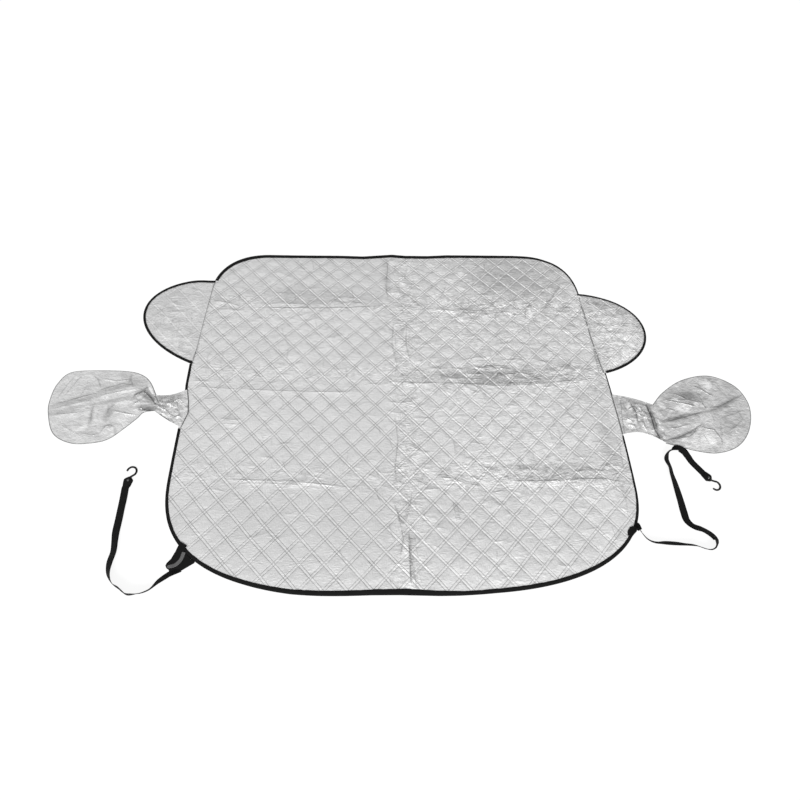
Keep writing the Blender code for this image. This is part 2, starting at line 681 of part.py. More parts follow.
def hook_route(side, extra=0.0):
    """Middle line of the hook's wire, from its tip round the ring and along its shank."""
    shape = HOOK[side]
    place, run = end_place(side)
    turn = np.radians(np.linspace(shape["tip"], shape["leave"], RING_STEPS + 1))
    centre = beside(side, [shape["centre"]])
    ring = centre + HOOK_RADIUS * np.stack([np.cos(turn), np.sin(turn)], axis=1)
    mouth = place + run * (END_LENGTH - SHANK_IN / 4)
    inner = place + run * (END_LENGTH - SHANK_IN - extra)
    points = [(*point, HOOK_WIRE / 2) for point in ring]
    points += [(*mouth, SHANK_HIGH), (*inner, SHANK_HIGH)]
    return smooth_curve(points, HOOK_STEPS)


def wire(name, route, radius, home):
    """Round wire along a route, with closed ends."""
    data = bpy.data.curves.new(name, "CURVE")
    data.dimensions = "3D"
    data.bevel_depth = radius
    data.bevel_resolution = 2
    data.use_fill_caps = True
    spline = data.splines.new("POLY")
    spline.points.add(len(route) - 1)
    for point, place in zip(spline.points, route):
        point.co = (*place, 1.0)
    item = add_object(name, data, home)
    bpy.context.view_layer.update()
    return curve_to_mesh(item, home)


def make_hook(side, parts):
    """Wire hook with its ring flat on the floor."""
    hook = wire(side + "_hook", hook_route(side), HOOK_WIRE / 2, parts)
    hook.data.shade_smooth()
    hook.data.set_sharp_from_angle(angle=math.radians(50))
    return hook


def make_strap_end(side, parts, guides):
    """Folded end of the strap, blunt towards the hook, with a hole that holds the shank."""
    place, run = end_place(side)
    half = END_WIDTH / 2
    narrow = STRAP_WIDTH / 2
    local = ((0.0, -narrow), (END_FLARE, -half), (END_LENGTH - END_POINT, -half),
             (END_LENGTH, -END_NOSE), (END_LENGTH, END_NOSE),
             (END_LENGTH - END_POINT, half), (END_FLARE, half), (0.0, narrow))
    across = np.array([-run[1], run[0]])
    outline = [place + run * ahead + across * aside for ahead, aside in local]
    name = side + "_strap_end"
    end = flat_plate(name, outline, FLOOR_GAP, END_HIGH, parts)
    bevel = end.modifiers.new("soft_edges", "BEVEL")
    bevel.width = END_BEVEL
    bevel.segments = 2
    bevel.limit_method = "ANGLE"
    bore = wire(name + "_bore", hook_route(side, CLEARANCE), HOOK_WIRE / 2 + CLEARANCE, guides)
    boolean(end, bore, "DIFFERENCE")
    return end


def make_rivet(side, parts):
    """Low round rivet head on the strap's folded end."""
    place, run = end_place(side)
    body = bmesh.new()
    centre = (*(place + run * RIVET_ALONG), END_HIGH + CLEARANCE + RIVET_HIGH / 2)
    bmesh.ops.create_cone(body, cap_ends=True, segments=20, radius1=RIVET_RADIUS,
                          radius2=RIVET_TOP_RADIUS, depth=RIVET_HIGH,
                          matrix=Matrix.Translation(centre))
    return mesh_object(side + "_strap_rivet", body, parts)


def main():
    clear_scene()
    parts = make_collection("windshield_frost_cover")
    guides = make_collection("cutters_and_guides")
    make_panel(parts, guides)
    section = tape_section(guides)
    make_panel_bindings(section, parts, guides)
    for side in OUTLINE:
        make_flap(side, parts, guides)
        make_flap_binding(side, section, parts, guides)
        make_neck(side, parts)
        make_pocket(side, parts)
        make_tab(side, parts, guides)
        make_strap(side, parts)
        make_strap_end(side, parts, guides)
        make_hook(side, parts)
        make_rivet(side, parts)
    for item in parts.objects:
        paint(item)


main()
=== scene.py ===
"""Windshield frost cover: the looks of a quilted foil cover that lies flat on a white floor."""
import math

import bmesh
import bpy
import numpy as np
from mathutils import Matrix


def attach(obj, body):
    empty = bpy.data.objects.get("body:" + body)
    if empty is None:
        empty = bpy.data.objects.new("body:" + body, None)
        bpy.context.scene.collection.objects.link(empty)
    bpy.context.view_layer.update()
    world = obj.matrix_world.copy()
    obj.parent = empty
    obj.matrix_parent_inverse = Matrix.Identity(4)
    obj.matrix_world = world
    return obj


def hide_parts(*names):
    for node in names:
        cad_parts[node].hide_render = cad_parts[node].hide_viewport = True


bl_info = {
    "name": "Windshield Frost Cover",
    "version": (1, 0, 0),
    "blender": (4, 5, 0),
    "location": "View3D > Sidebar > Frost Cover",
    "description": "Quilted foil cover with mirror pockets, side flaps and hooked straps",
    "category": "Object",
}

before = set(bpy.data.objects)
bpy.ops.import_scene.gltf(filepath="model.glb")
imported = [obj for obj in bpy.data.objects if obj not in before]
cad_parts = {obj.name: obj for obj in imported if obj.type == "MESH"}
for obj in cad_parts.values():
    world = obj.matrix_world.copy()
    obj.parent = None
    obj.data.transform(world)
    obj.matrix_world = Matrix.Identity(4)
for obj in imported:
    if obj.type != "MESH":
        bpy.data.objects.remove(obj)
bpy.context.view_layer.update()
BODY = "root"
MM = 0.001

# Panel outline: straight top and bottom edges, bowed sides and superelliptic corners
BOTTOM_Y = -0.599
BOTTOM_STRAIGHT = 0.100
TOP_STRAIGHT = 0.472
TOP_CORNER_Y = 0.400
TOP_CORNER_POWER = 2.3
OUTLINE = {
    "left": {"sign": -1, "wide": 0.703, "wide_y": -0.260, "shoulder": 0.679,
             "power": 2.6, "top_y": 0.587},
    "right": {"sign": 1, "wide": 0.716, "wide_y": -0.288, "shoulder": 0.664,
              "power": 2.55, "top_y": 0.607},
}
FLAP = {
    "left": {"centre": (0.571, 0.273), "reach": 0.322, "half_height": 0.190, "lean": 0.153},
    "right": {"centre": (0.6325, 0.260), "reach": 0.248, "half_height": 0.170, "lean": 0.051},
}
FLAP_TOP_SHIFT = {"left": -0.008, "right": 0.003}     # at the flap's upper end on the panel
NECK_SEAM = {"left": (0.026, -0.107), "right": (0.020, -0.124)}   # top and low end on the panel
NECK_MOUTH = {"left": ((0.087, 0.005), (0.078, -0.050)), "right": ((0.120, -0.018), (0.133, -0.154))}
NECK_WAIST = {"left": (0.010, -0.003), "right": (-0.006, 0.0215)}
POCKET_OUTLINE = {
    "left": ((0.078, -0.050), (0.113, -0.057), (0.129, -0.077), (0.162, -0.112),
             (0.196, -0.143), (0.234, -0.157), (0.306, -0.160), (0.368, -0.129),
             (0.402, -0.060), (0.409, -0.010), (0.401, 0.042), (0.367, 0.083),
             (0.269, 0.0905), (0.184, 0.087), (0.140, 0.073), (0.112, 0.048), (0.087, 0.005)),
    "right": ((0.133, -0.154), (0.170, -0.164), (0.229, -0.180), (0.294, -0.187),
              (0.364, -0.168), (0.416, -0.125), (0.450, -0.062), (0.457, 0.000),
              (0.427, 0.059), (0.348, 0.095), (0.250, 0.078), (0.170, 0.031), (0.120, -0.018)),
}

# Straps, as (outward, y, turn in degrees) from tab to hook, and their folded ends
STRAP_ROUTE = {
    "left": ((-0.0790, -0.5210, 8), (-0.0690, -0.5278, 24), (-0.0573, -0.5355, 38),
             (-0.0477, -0.5418, 39), (-0.0301, -0.5551, 46), (-0.0121, -0.5741, 66),
             (0.0074, -0.5829, 76), (0.0282, -0.5858, 91), (0.0457, -0.5861, 102),
             (0.0580, -0.5790, 108), (0.0705, -0.5701, 109), (0.0850, -0.5620, 105),
             (0.0964, -0.5493, 117), (0.1070, -0.5293, 138), (0.1105, -0.5040, 154),
             (0.1069, -0.4760, 155), (0.1100, -0.4481, 159), (0.1135, -0.4220, 168),
             (0.1135, -0.3900, 169), (0.1139, -0.3580, 168), (0.1143, -0.3280, 170)),
    "right": ((-0.0290, -0.4200, -30), (-0.0223, -0.4293, -63), (-0.0162, -0.4400, -58),
              (-0.0063, -0.4532, -58), (0.0080, -0.4619, -63), (0.0281, -0.4654, -66),
              (0.0521, -0.4659, -55), (0.0821, -0.4677, -56), (0.1082, -0.4703, -65),
              (0.1353, -0.4734, -68), (0.1576, -0.4811, -68), (0.1768, -0.4851, -79),
              (0.1949, -0.4775, -120), (0.2038, -0.4643, -142), (0.2050, -0.4549, -157),
              (0.1936, -0.4414, -155), (0.1706, -0.4269, -148), (0.1474, -0.4178, -154),
              (0.1337, -0.4001, -172), (0.1317, -0.3752, -178), (0.1303, -0.3442, -173),
              (0.1282, -0.3131, -168), (0.1255, -0.2849, -160), (0.1220, -0.2571, -150),
              (0.1216, -0.2341, -146), (0.1174, -0.2100, -154), (0.1224, -0.1941, -133),
              (0.1324, -0.1829, -102), (0.1477, -0.1791, -63), (0.1648, -0.1716, -6),
              (0.1819, -0.1807, 5), (0.1927, -0.1969, 0), (0.2012, -0.2177, -6)),
}
# Where a strap lies on a pocket's rim, as (outward, y, lift), and the reach of that hump
STRAP_HUMP = {"left": None, "right": (0.170, -0.172, 0.0030)}
HUMP_REACH = 0.022
END_START = {"left": (0.1142, -0.2912), "right": (0.2287, -0.2554)}
END_HEADING = {"left": 80.0, "right": -54.0}
END_LENGTH = 0.027
END_LEAD = 0.006
END_TUCK = 0.004              # how far the strap runs into its folded end
# Folded end as (share along, half width, height) in metres, blunt towards the hook
END_SHAPE = ((-0.06, 0.0108, 0.0024), (0.00, 0.0116, 0.0036), (0.15, 0.0122, 0.0048),
             (0.40, 0.0131, 0.0064), (0.58, 0.0137, 0.0068), (0.68, 0.0135, 0.0068),
             (0.80, 0.0108, 0.0066), (0.93, 0.0066, 0.0058), (1.02, 0.0040, 0.0048),
             (1.05, 0.0018, 0.0040))
SHANK_HIGH = 0.0036
SHANK_IN = 0.011
HOOK_RADIUS = 0.0137
HOOK = {
    "left": {"centre": (0.1076, -0.2479), "tip": 178.0, "leave": -65.0},
    "right": {"centre": (0.2558, -0.2935), "tip": -146.0, "leave": 87.0},
}
# Middle line of the grey band painted as a highlight on the left tab's folded webbing
TAB_HIGHLIGHT_ROUTE = ((-0.6192, -0.4790), (-0.6205, -0.4842), (-0.6236, -0.4974), (-0.6323, -0.5091),
               (-0.6446, -0.5155), (-0.6584, -0.5167))
TAB_HIGH = 0.0044
FLOOR_GAP = 0.0002


def linear(code):
    """Linear colour of an sRGB hex code: a straight line near black and a power above it."""
    value = np.array([int(code[at:at + 2], 16) for at in (0, 2, 4)]) / 255
    return np.where(value <= 0.04045, value / 12.92, ((value + 0.055) / 1.055) ** 2.4).tolist()


class QuiltSizes(bpy.types.PropertyGroup):
    """Sizes of the quilted panel and flaps."""
    pitch_u: bpy.props.FloatProperty(
        name="Pitch U", description="Distance between stitch lines that fall to the right",
        default=0.0490, unit="LENGTH")
    pitch_v: bpy.props.FloatProperty(
        name="Pitch V", description="Distance between stitch lines that rise to the right",
        default=0.04975, unit="LENGTH")
    stitch_gap: bpy.props.FloatProperty(
        name="Stitch gap", description="Distance between the two rows of a stitch line",
        default=0.0075, unit="LENGTH")
    puff: bpy.props.FloatProperty(
        name="Puff", description="Rise of a cushion's middle over its stitches",
        default=0.0016, unit="LENGTH")
    wander: bpy.props.FloatProperty(
        name="Wander", description="How far stitch lines stray from straight",
        default=0.0022, unit="LENGTH")
    crumple: bpy.props.FloatProperty(
        name="Crumple", description="Height of the film's crumples",
        default=0.0010, unit="LENGTH")


class TrimSizes(bpy.types.PropertyGroup):
    """Sizes of the webbing and hooks."""
    strap_width: bpy.props.FloatProperty(
        name="Strap width", description="Width of the elastic webbing",
        default=0.0235, unit="LENGTH")
    strap_thick: bpy.props.FloatProperty(
        name="Strap thickness", description="Thickness of the elastic webbing",
        default=0.0012, unit="LENGTH")
    wire: bpy.props.FloatProperty(
        name="Hook wire", description="Diameter of the coated wire",
        default=0.0058, unit="LENGTH")


class CoverColours(bpy.types.PropertyGroup):
    """Colours of the finishes."""
    foil: bpy.props.FloatVectorProperty(
        name="Foil", description="Quilted silver film", subtype="COLOR", default=linear("DBDBDB"))
    film: bpy.props.FloatVectorProperty(
        name="Pocket film", description="Thin silver film", subtype="COLOR",
        default=linear("DCDCDC"))
    # The thread rows are drawn wider than the thread in this colour, also as painted shade of the dents
    # that they pull
    thread: bpy.props.FloatVectorProperty(
        name="Thread", description="Quilting thread", subtype="COLOR", default=linear("7E7E7E"))
    seam: bpy.props.FloatVectorProperty(
        name="Seam", description="Overlock seam of the pockets", subtype="COLOR",
        default=linear("5E5E5E"))
    tape: bpy.props.FloatVectorProperty(
        name="Tape", description="Binding tape", subtype="COLOR", default=linear("131313"))
    webbing: bpy.props.FloatVectorProperty(
        name="Webbing", description="Elastic straps and tabs", subtype="COLOR",
        default=linear("0C0C0C"))
    # Grey of the band painted on the left tab's fold as a highlight of the black webbing
    tab_highlight_paint: bpy.props.FloatVectorProperty(
        name="Tab highlight paint", description="Smooth back of the left tab's webbing", subtype="COLOR",
        default=linear("565656"))
    wire: bpy.props.FloatVectorProperty(
        name="Wire coating", description="Hooks", subtype="COLOR", default=linear("0C0C0C"))


class StageSettings(bpy.types.PropertyGroup):
    """Camera."""
    lens: bpy.props.FloatProperty(
        name="Lens", description="Focal length on a 36 mm wide sensor", default=21.375,
        unit="CAMERA")
    place: bpy.props.FloatVectorProperty(
        name="Camera place", description="Where the camera stands", subtype="TRANSLATION",
        default=(-0.092212, -0.655316, 1.409264))
    pitch: bpy.props.FloatProperty(
        name="Pitch", description="Angle of the view below the horizon", subtype="ANGLE",
        default=1.13621)
    yaw: bpy.props.FloatProperty(
        name="Yaw", description="Turn of the view to the right", subtype="ANGLE", default=0.124835)
    roll: bpy.props.FloatProperty(
        name="Roll", description="Lean of the camera to the left", subtype="ANGLE",
        default=0.121224)


# Shared geometry

def scatter(column, row, seed):
    """Even random numbers from 0 to 1, one for each lattice place, hashed from its integers."""
    mixed = (column * 374761393 + row * 668265263 + seed * 974711) & 0xFFFFFFFF
    mixed = ((mixed ^ (mixed >> 13)) * 1274126177) & 0xFFFFFFFF
    return (mixed ^ (mixed >> 16)) / 0xFFFFFFFF


def rolling(x, y, cell, seed):
    """Rolling noise from -1 to 1: random lattice values, eased into each other by smoothsteps."""
    column, row = np.floor(x / cell).astype(np.int64), np.floor(y / cell).astype(np.int64)
    over, up = x / cell - column, y / cell - row
    over, up = over * over * (3 - 2 * over), up * up * (3 - 2 * up)
    low = scatter(column, row, seed) * (1 - over) + scatter(column + 1, row, seed) * over
    high = scatter(column, row + 1, seed) * (1 - over) + scatter(column + 1, row + 1, seed) * over
    return 2 * (low * (1 - up) + high * up) - 1


def facets(x, y, cell, seed):
    """Crumpled sheet: the highest of sloping bowls, one at each jittered place of a lattice."""
    column, row = np.floor(x / cell).astype(np.int64), np.floor(y / cell).astype(np.int64)
    best = np.full(x.shape, -9.0)
    for aside in (-1, 0, 1):
        for along in (-1, 0, 1):
            there, over = column + aside, row + along
            dx = x / cell - there - scatter(there, over, seed)
            dy = y / cell - over - scatter(there, over, seed + 1)
            slope = 1.5 * (scatter(there, over, seed + 2) - 0.5) * dx
            slope += 1.5 * (scatter(there, over, seed + 3) - 0.5) * dy
            level = 0.4 * scatter(there, over, seed + 4) + slope - 0.8 * (dx * dx + dy * dy)
            best = np.maximum(best, level)
    return best


def ease(share):
    """Smoothstep of a share that is cut to 0 and 1."""
    share = np.clip(share, 0.0, 1.0)
    return share * share * (3 - 2 * share)


def stretches(points):
    """Lengths of the straight stretches between points."""
    return np.linalg.norm(np.diff(points, axis=0), axis=1)


def travel_along(points):
    """Distance along a line of straight stretches at each of its points."""
    return np.append(0.0, np.cumsum(stretches(points)))


def unit(vectors):
    """Vectors scaled to a length of 1."""
    return vectors / np.linalg.norm(vectors, axis=1)[:, None]


def frame_along(route):
    """Unit vectors along a route, level across it and upright on both."""
    run = unit(np.gradient(route, axis=0))
    level = unit(np.stack([run[:, 1], -run[:, 0], np.zeros(len(run))], axis=1))
    return run, level, np.cross(level, run)


def even_path(points, spacing, closed=False):
    """Points at even distances, near the spacing, along a line of straight stretches."""
    line = np.vstack([points, points[:1]]) if closed else np.asarray(points)
    travel = travel_along(line)
    count = max(2, round(travel[-1] / spacing))
    marks = np.linspace(0.0, travel[-1], count + 1)
    if closed:
        marks = marks[:-1]
    return np.stack([np.interp(marks, travel, line[:, k]) for k in range(line.shape[1])], axis=1)


def smooth_curve(points, steps, closed=False):
    """Catmull-Rom curve through the points, read at evenly spaced level distances."""
    base = np.array(points, dtype=float)
    if closed:
        knots = np.vstack([base[-1], base, base[0], base[1]])
    else:
        knots = np.vstack([2 * base[0] - base[1], base, 2 * base[-1] - base[-2]])
    share = np.linspace(0.0, 1.0, 24, endpoint=False)[:, None]
    spans = []
    for before, start, end, after in zip(knots, knots[1:], knots[2:], knots[3:]):
        spans.append(0.5 * (2 * start + (end - before) * share
                            + (2 * before - 5 * start + 4 * end - after) * share ** 2
                            + (3 * start - before - 3 * end + after) * share ** 3))
    fine = np.vstack(spans + [knots[-2:-1]])
    travel = travel_along(fine[:, :2])
    marks = np.linspace(0.0, travel[-1], steps + 1)
    if closed:
        marks = marks[:-1]
    return np.stack([np.interp(marks, travel, fine[:, k]) for k in range(fine.shape[1])], axis=1)


def beside(side, points):
    """Places on the floor from points given outward from the side's widest place."""
    shape = OUTLINE[side]
    placed = np.array(points, dtype=float)
    placed[:, 0] = shape["sign"] * (shape["wide"] + placed[:, 0])
    return placed


def half_edge(side, steps=160):
    """One side of the panel's edge from bottom to top, X outward: two superelliptic corners,
    |x|^n + |y|^n = 1, and a bow between them that is a parabola."""
    shape = OUTLINE[side]
    turn = np.linspace(0.0, math.pi / 2, steps)
    power = 2 / shape["power"]
    lower_x = BOTTOM_STRAIGHT + (shape["wide"] - BOTTOM_STRAIGHT) * np.sin(turn) ** power
    lower_y = shape["wide_y"] - (shape["wide_y"] - BOTTOM_Y) * np.abs(np.cos(turn)) ** power
    share = np.linspace(0.0, 1.0, steps)[1:-1]
    bow_x = shape["wide"] - (shape["wide"] - shape["shoulder"]) * share ** 2
    bow_y = shape["wide_y"] + (TOP_CORNER_Y - shape["wide_y"]) * share
    power = 2 / TOP_CORNER_POWER
    upper_x = TOP_STRAIGHT + (shape["shoulder"] - TOP_STRAIGHT) * np.abs(np.cos(turn)) ** power
    upper_y = TOP_CORNER_Y + (shape["top_y"] - TOP_CORNER_Y) * np.sin(turn) ** power
    return np.stack([np.concatenate([lower_x, bow_x, upper_x]),
                     np.concatenate([lower_y, bow_y, upper_y])], axis=1)


def side_x(side, y):
    """Distance of the panel's edge from its middle at heights on its side, outward."""
    edge = half_edge(side)
    return np.interp(y, edge[:, 1], edge[:, 0])


# How far the panel's top and bottom edges stand off in +Y, as places along X and mm
TOP_WAVE = ((-0.62, -0.538, -0.376, -0.228, -0.142, -0.033, 0.017, 0.101, 0.177, 0.304, 0.429,
             0.499, 0.556, 0.640),
            (0.0, -1.4, -3.2, -3.2, -6.0, 3.6, -1.4, -1.9, 2.9, 2.9, 2.4, -1.0, -4.0, 0.0))
BOTTOM_WAVE = ((-0.45, -0.318, -0.237, -0.102, -0.020, 0.090, 0.146, 0.250),
               (0.0, -2.0, -0.8, 2.0, 1.5, -2.2, -2.2, 0.0))


def waved(points, closed=False):
    """Even places on the panel's edge with its top and bottom moved along Y by their waves,
    which fade out down the corners."""
    points = even_path(points, 6 * MM, closed)
    x, y = points[:, 0], points[:, 1]
    wave = np.where(y > 0, np.interp(x, *TOP_WAVE), np.interp(x, *BOTTOM_WAVE)) * MM
    return points + np.stack([0 * x, wave * ease((np.abs(y) - 0.47) / 0.07)], axis=1)


def panel_edge():
    """The panel's closed edge, counterclockwise, with a point every 6 mm."""
    left = swollen("left", half_edge("left"))[::-1] * (-1, 1)
    return waved(np.vstack([half_edge("right"), left]), closed=True)


# How far a side's edge stands out beside its flap, as places along Y and mm
SIDE_SWELL = {
    "left": ((-0.030, 0.020, 0.040, 0.118, 0.170), (0.0, 4.0, 6.5, 9.5, 0.0)),
    "right": ((-0.030, 0.170), (0.0, 0.0)),
}


def swollen(side, points):
    """Places on a side's edge, X outward, moved out by its swell."""
    return points + np.stack([np.interp(points[:, 1], *SIDE_SWELL[side]) * MM, 0 * points[:, 1]],
                             axis=1)


def flap_curve(side, turn):
    """Points of the flap's leaning ellipse at the given turns, X outward."""
    shape = FLAP[side]
    x = shape["reach"] * np.cos(turn)
    return np.array(shape["centre"]) + np.stack(
        [x, shape["half_height"] * np.sin(turn) + shape["lean"] * x], axis=1)


def flap_free_edge(side):
    """The flap's edge outside the panel, from its lower to its upper end, X outward."""
    curve = flap_curve(side, np.linspace(-math.pi / 2, math.pi / 2, 500))
    curve = curve[curve[:, 0] > side_x(side, curve[:, 1]) + 1.5 * MM]
    away = np.linalg.norm(curve - curve[-1], axis=1)
    curve[:, 1] += FLAP_TOP_SHIFT[side] * np.exp(-(away / 0.05) ** 2)
    return curve


def inset(edge, depth):
    """A closed counterclockwise edge, moved inward across its local direction."""
    run = unit(np.roll(edge, -1, axis=0) - np.roll(edge, 1, axis=0))
    return edge + np.stack([-run[:, 1], run[:, 0]], axis=1) * depth


def nearest(points, line, closed=False):
    """Distance to a line of straight stretches, the nearest place on it, how far along it that
    is, and the distance's sign: positive on the left of the direction of travel."""
    ends = np.roll(line, -1, axis=0) if closed else line[1:]
    starts = line if closed else line[:-1]
    best = np.full(len(points), np.inf)
    place = np.zeros_like(points)
    along = np.zeros(len(points))
    sign = np.ones(len(points))
    travel = 0.0
    for start, end in zip(starts, ends):
        run = end - start
        length = math.hypot(*run)
        share = np.clip((points - start) @ run / length ** 2, 0.0, 1.0)
        foot = start + share[:, None] * run
        gap = np.linalg.norm(points - foot, axis=1)
        near = gap < best
        turn = run[0] * (points[:, 1] - start[1]) - run[1] * (points[:, 0] - start[0])
        best[near] = gap[near]
        place[near] = foot[near]
        along[near] = travel + share[near] * length
        sign[near] = np.where(turn[near] < 0, -1.0, 1.0)
        travel += length
    return best, place, along, sign


def within(points, edge):
    """True where a point lies inside a closed edge, by the crossings of a ray along X."""
    inside = np.zeros(len(points), dtype=bool)
    for start, end in zip(edge, np.roll(edge, -1, axis=0)):
        spans = (start[1] > points[:, 1]) != (end[1] > points[:, 1])
        if start[1] != end[1]:
            cross = start[0] + (points[:, 1] - start[1]) * (end[0] - start[0]) / (end[1] - start[1])
            inside ^= spans & (points[:, 0] < cross)
    return inside


# Distance in mm over which a crease's sharp line is faded out
CREASE_REACH = 8.0


def creased(points, strokes, seed, fade=CREASE_REACH):
    """Summed height of crease strokes, with the signed distance to the nearest stroke in mm and
    its rise there.  A stroke is (rise, spread on its left, spread on its right, places), in mm
    and metres: its height falls off as exp(-distance / spread) to each side, tapers towards its
    ends and varies by a third along its run.  The rise fades out over a distance in mm."""
    height, rise = np.zeros(len(points)), np.zeros(len(points))
    away = np.full(len(points), 99.0)
    for number, (top, left, right, line) in enumerate(strokes):
        line = np.array(line)
        reach = max(5 * max(left, right), CREASE_REACH) * MM
        low, high = line.min(axis=0) - reach, line.max(axis=0) + reach
        close = np.flatnonzero(((points > low) & (points < high)).all(axis=1))
        if not len(close):
            continue
        gap, _, along, sign = nearest(points[close], line)
        length = stretches(line).sum()
        spread = np.where(sign > 0, left, right) * MM
        taper = ease(along / (0.25 * length) + 0.15) * ease((length - along) / (0.25 * length) + 0.15)
        level = top * taper * (1 + 0.33 * rolling(along, along * 0, 0.03, seed + number))
        height[close] += level * MM * np.exp(-gap / spread)
        first = gap / MM < np.abs(away[close])
        away[close[first]] = (sign * gap)[first] / MM
        rise[close[first]] = (level * ease((1 - gap / MM / fade) * 1.6))[first]
    return height, away, rise


def seamed(points, seams, away, rise):
    """Crease marks with dark lines drawn over them, seams and painted shade along folds: lines of no
    height, as (darkness, places).
    """
    for dark, line in seams:
        gap, _, _, sign = nearest(points, np.array(line))
        first = gap / MM < np.minimum(np.abs(away), CREASE_REACH)
        away[first] = (sign * gap)[first] / MM
        rise[first] = (dark * ease((1 - gap / MM / CREASE_REACH) * 1.6))[first]
    return away, rise


def short_creases(box, count, lean, seed, wear):
    """Short random strokes in a box, kept where a hashed number is under the wear there.  The
    share lean of them runs along X, the others along Y, each within a quarter of a radian."""
    number = np.arange(count)
    draws = [scatter(number, number * 0 + 1, seed + step) for step in range(9)]
    low, high = np.array(box[0]), np.array(box[1])
    middle = low + (high - low) * np.stack(draws[:2], axis=1)
    turn = (draws[2] - 0.5) * 0.9 + np.where(draws[3] < lean, 0.0, math.pi / 2)
    run = np.stack([np.cos(turn), np.sin(turn)], axis=1) * (0.010 + 0.024 * draws[4])[:, None]
    bend = np.stack([-run[:, 1], run[:, 0]], axis=1) * (draws[5] - 0.5)[:, None] * 0.5
    kept = draws[6] < wear(middle[:, 0], middle[:, 1])
    lines = np.stack([middle - run, middle + bend, middle + run], axis=1)[kept]
    rises = (0.5 + 1.1 * draws[7])[kept]
    spreads = (2.5 + 3.0 * draws[8])[kept]
    return [(rise, spread, spread, line) for rise, spread, line in zip(rises, spreads, lines)]


# Mesh and material makers

def add_mesh(name, places, faces, around=None, smooth=True):
    """Object at the origin from places, faces and a UV pair for each place."""
    data = bpy.data.meshes.new(name)
    data.from_pydata(np.asarray(places).tolist(), [], [face.tolist() for face in map(np.asarray, faces)])
    if around is not None:
        corner = np.empty(len(data.loops), dtype=np.int32)
        data.loops.foreach_get("vertex_index", corner)
        layer = data.uv_layers.new(name="UVMap")
        layer.data.foreach_set("uv", np.asarray(around, dtype=np.float32)[corner].ravel())
    data.update()
    if smooth:
        data.shade_smooth()
    made = bpy.data.objects.new(name, data)
    bpy.context.scene.collection.objects.link(made)
    return made


def mark(item, **values):
    """Store a number for each place, or one for all, which the finish reads by its name."""
    for name, numbers in values.items():
        layer = item.data.attributes.new(name, "FLOAT", "POINT")
        layer.data.foreach_set("value", np.full(len(layer.data), numbers, dtype=np.float32))


def grid_faces(rows, across, rows_closed=False, across_closed=False):
    """Quads between the places of a grid, as an array of four indices each."""
    index = np.arange(rows * across).reshape(rows, across)
    if rows_closed:
        index = np.vstack([index, index[:1]])
    if across_closed:
        index = np.hstack([index, index[:, :1]])
    quads = np.stack([index[:-1, :-1], index[:-1, 1:], index[1:, 1:], index[1:, :-1]], axis=-1)
    return quads.reshape(-1, 4)


def ribbon_uv(route, rings):
    """UV map of a ribbon in metres: along its route and round its section."""
    pairs = np.broadcast_arrays(travel_along(route)[:, None], travel_along(rings[0]))
    return np.stack(pairs, axis=-1).reshape(-1, 2)


def swept(name, rings, around=None):
    """Closed skin through rings of places, (stations, places, 3), with flat ends."""
    stations, count = rings.shape[:2]
    faces = list(grid_faces(stations, count, across_closed=True))
    faces += [np.arange(count)[::-1], np.arange(count) + (stations - 1) * count]
    item = add_mesh(name, rings.reshape(-1, 3), faces, around)
    face_outwards(item)
    return item


def face_outwards(item):
    """Turn a closed mesh's faces outwards."""
    body = bmesh.new()
    body.from_mesh(item.data)
    bmesh.ops.recalc_face_normals(body, faces=body.faces)
    body.to_mesh(item.data)
    body.free()


def close_sheet(item, low):
    """Close an open height surface with a skirt down to a level and a flat underside."""
    body = bmesh.new()
    body.from_mesh(item.data)
    layer = body.loops.layers.uv.active
    edges = [edge for edge in body.edges if edge.is_boundary]
    skirt = bmesh.ops.extrude_edge_only(body, edges=edges)["geom"]
    for corner in skirt:
        if isinstance(corner, bmesh.types.BMVert):
            corner.co.z = low
    rim = [edge for edge in body.edges if edge.is_boundary]
    under = bmesh.ops.holes_fill(body, edges=rim, sides=0)["faces"]
    for face in under:
        face.smooth = False
        for loop in face.loops:
            if layer:
                loop[layer].uv = loop.vert.co.xy
    bmesh.ops.recalc_face_normals(body, faces=body.faces)
    body.to_mesh(item.data)
    body.free()


def thicken(item, depth):
    """Give an open sheet a thickness on its underside."""
    shell = item.modifiers.new("thickness", "SOLIDIFY")
    shell.thickness = depth
    shell.offset = -1.0


def node(tree, kind, inputs=(), out=0, **settings):
    """Add a node with its settings, and values or links for its inputs.  Gives the output of a
    number or name, or all of them."""
    made = tree.nodes.new("ShaderNode" + kind)
    for name, value in settings.items():
        setattr(made, name, value)
    for name, value in inputs.items() if isinstance(inputs, dict) else enumerate(inputs):
        if isinstance(value, bpy.types.NodeSocket):
            tree.links.new(value, made.inputs[name])
        else:
            made.inputs[name].default_value = value
    return made.outputs if out is None else made.outputs[out]


def new_material(name, colour, roughness, metallic, **sockets):
    """Principled material with plain values on its own sockets."""
    made = bpy.data.materials.new(name)
    made.use_nodes = True
    shader = made.node_tree.nodes["Principled BSDF"]
    shader.inputs["Base Color"].default_value = (*colour, 1.0)
    shader.inputs["Roughness"].default_value = roughness
    shader.inputs["Metallic"].default_value = metallic
    for socket, value in sockets.items():
        shader.inputs[socket.replace("_", " ")].default_value = value
    return made, made.node_tree, shader


def dress(item, material, slot, *nodes):
    """Give a piece its material and body, and hide the CAD nodes that it stands for.  The slot is not
    used.
    """
    item.data.materials.clear()
    item.data.materials.append(material)
    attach(item, BODY)
    if nodes:
        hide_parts(*nodes)


# Creases

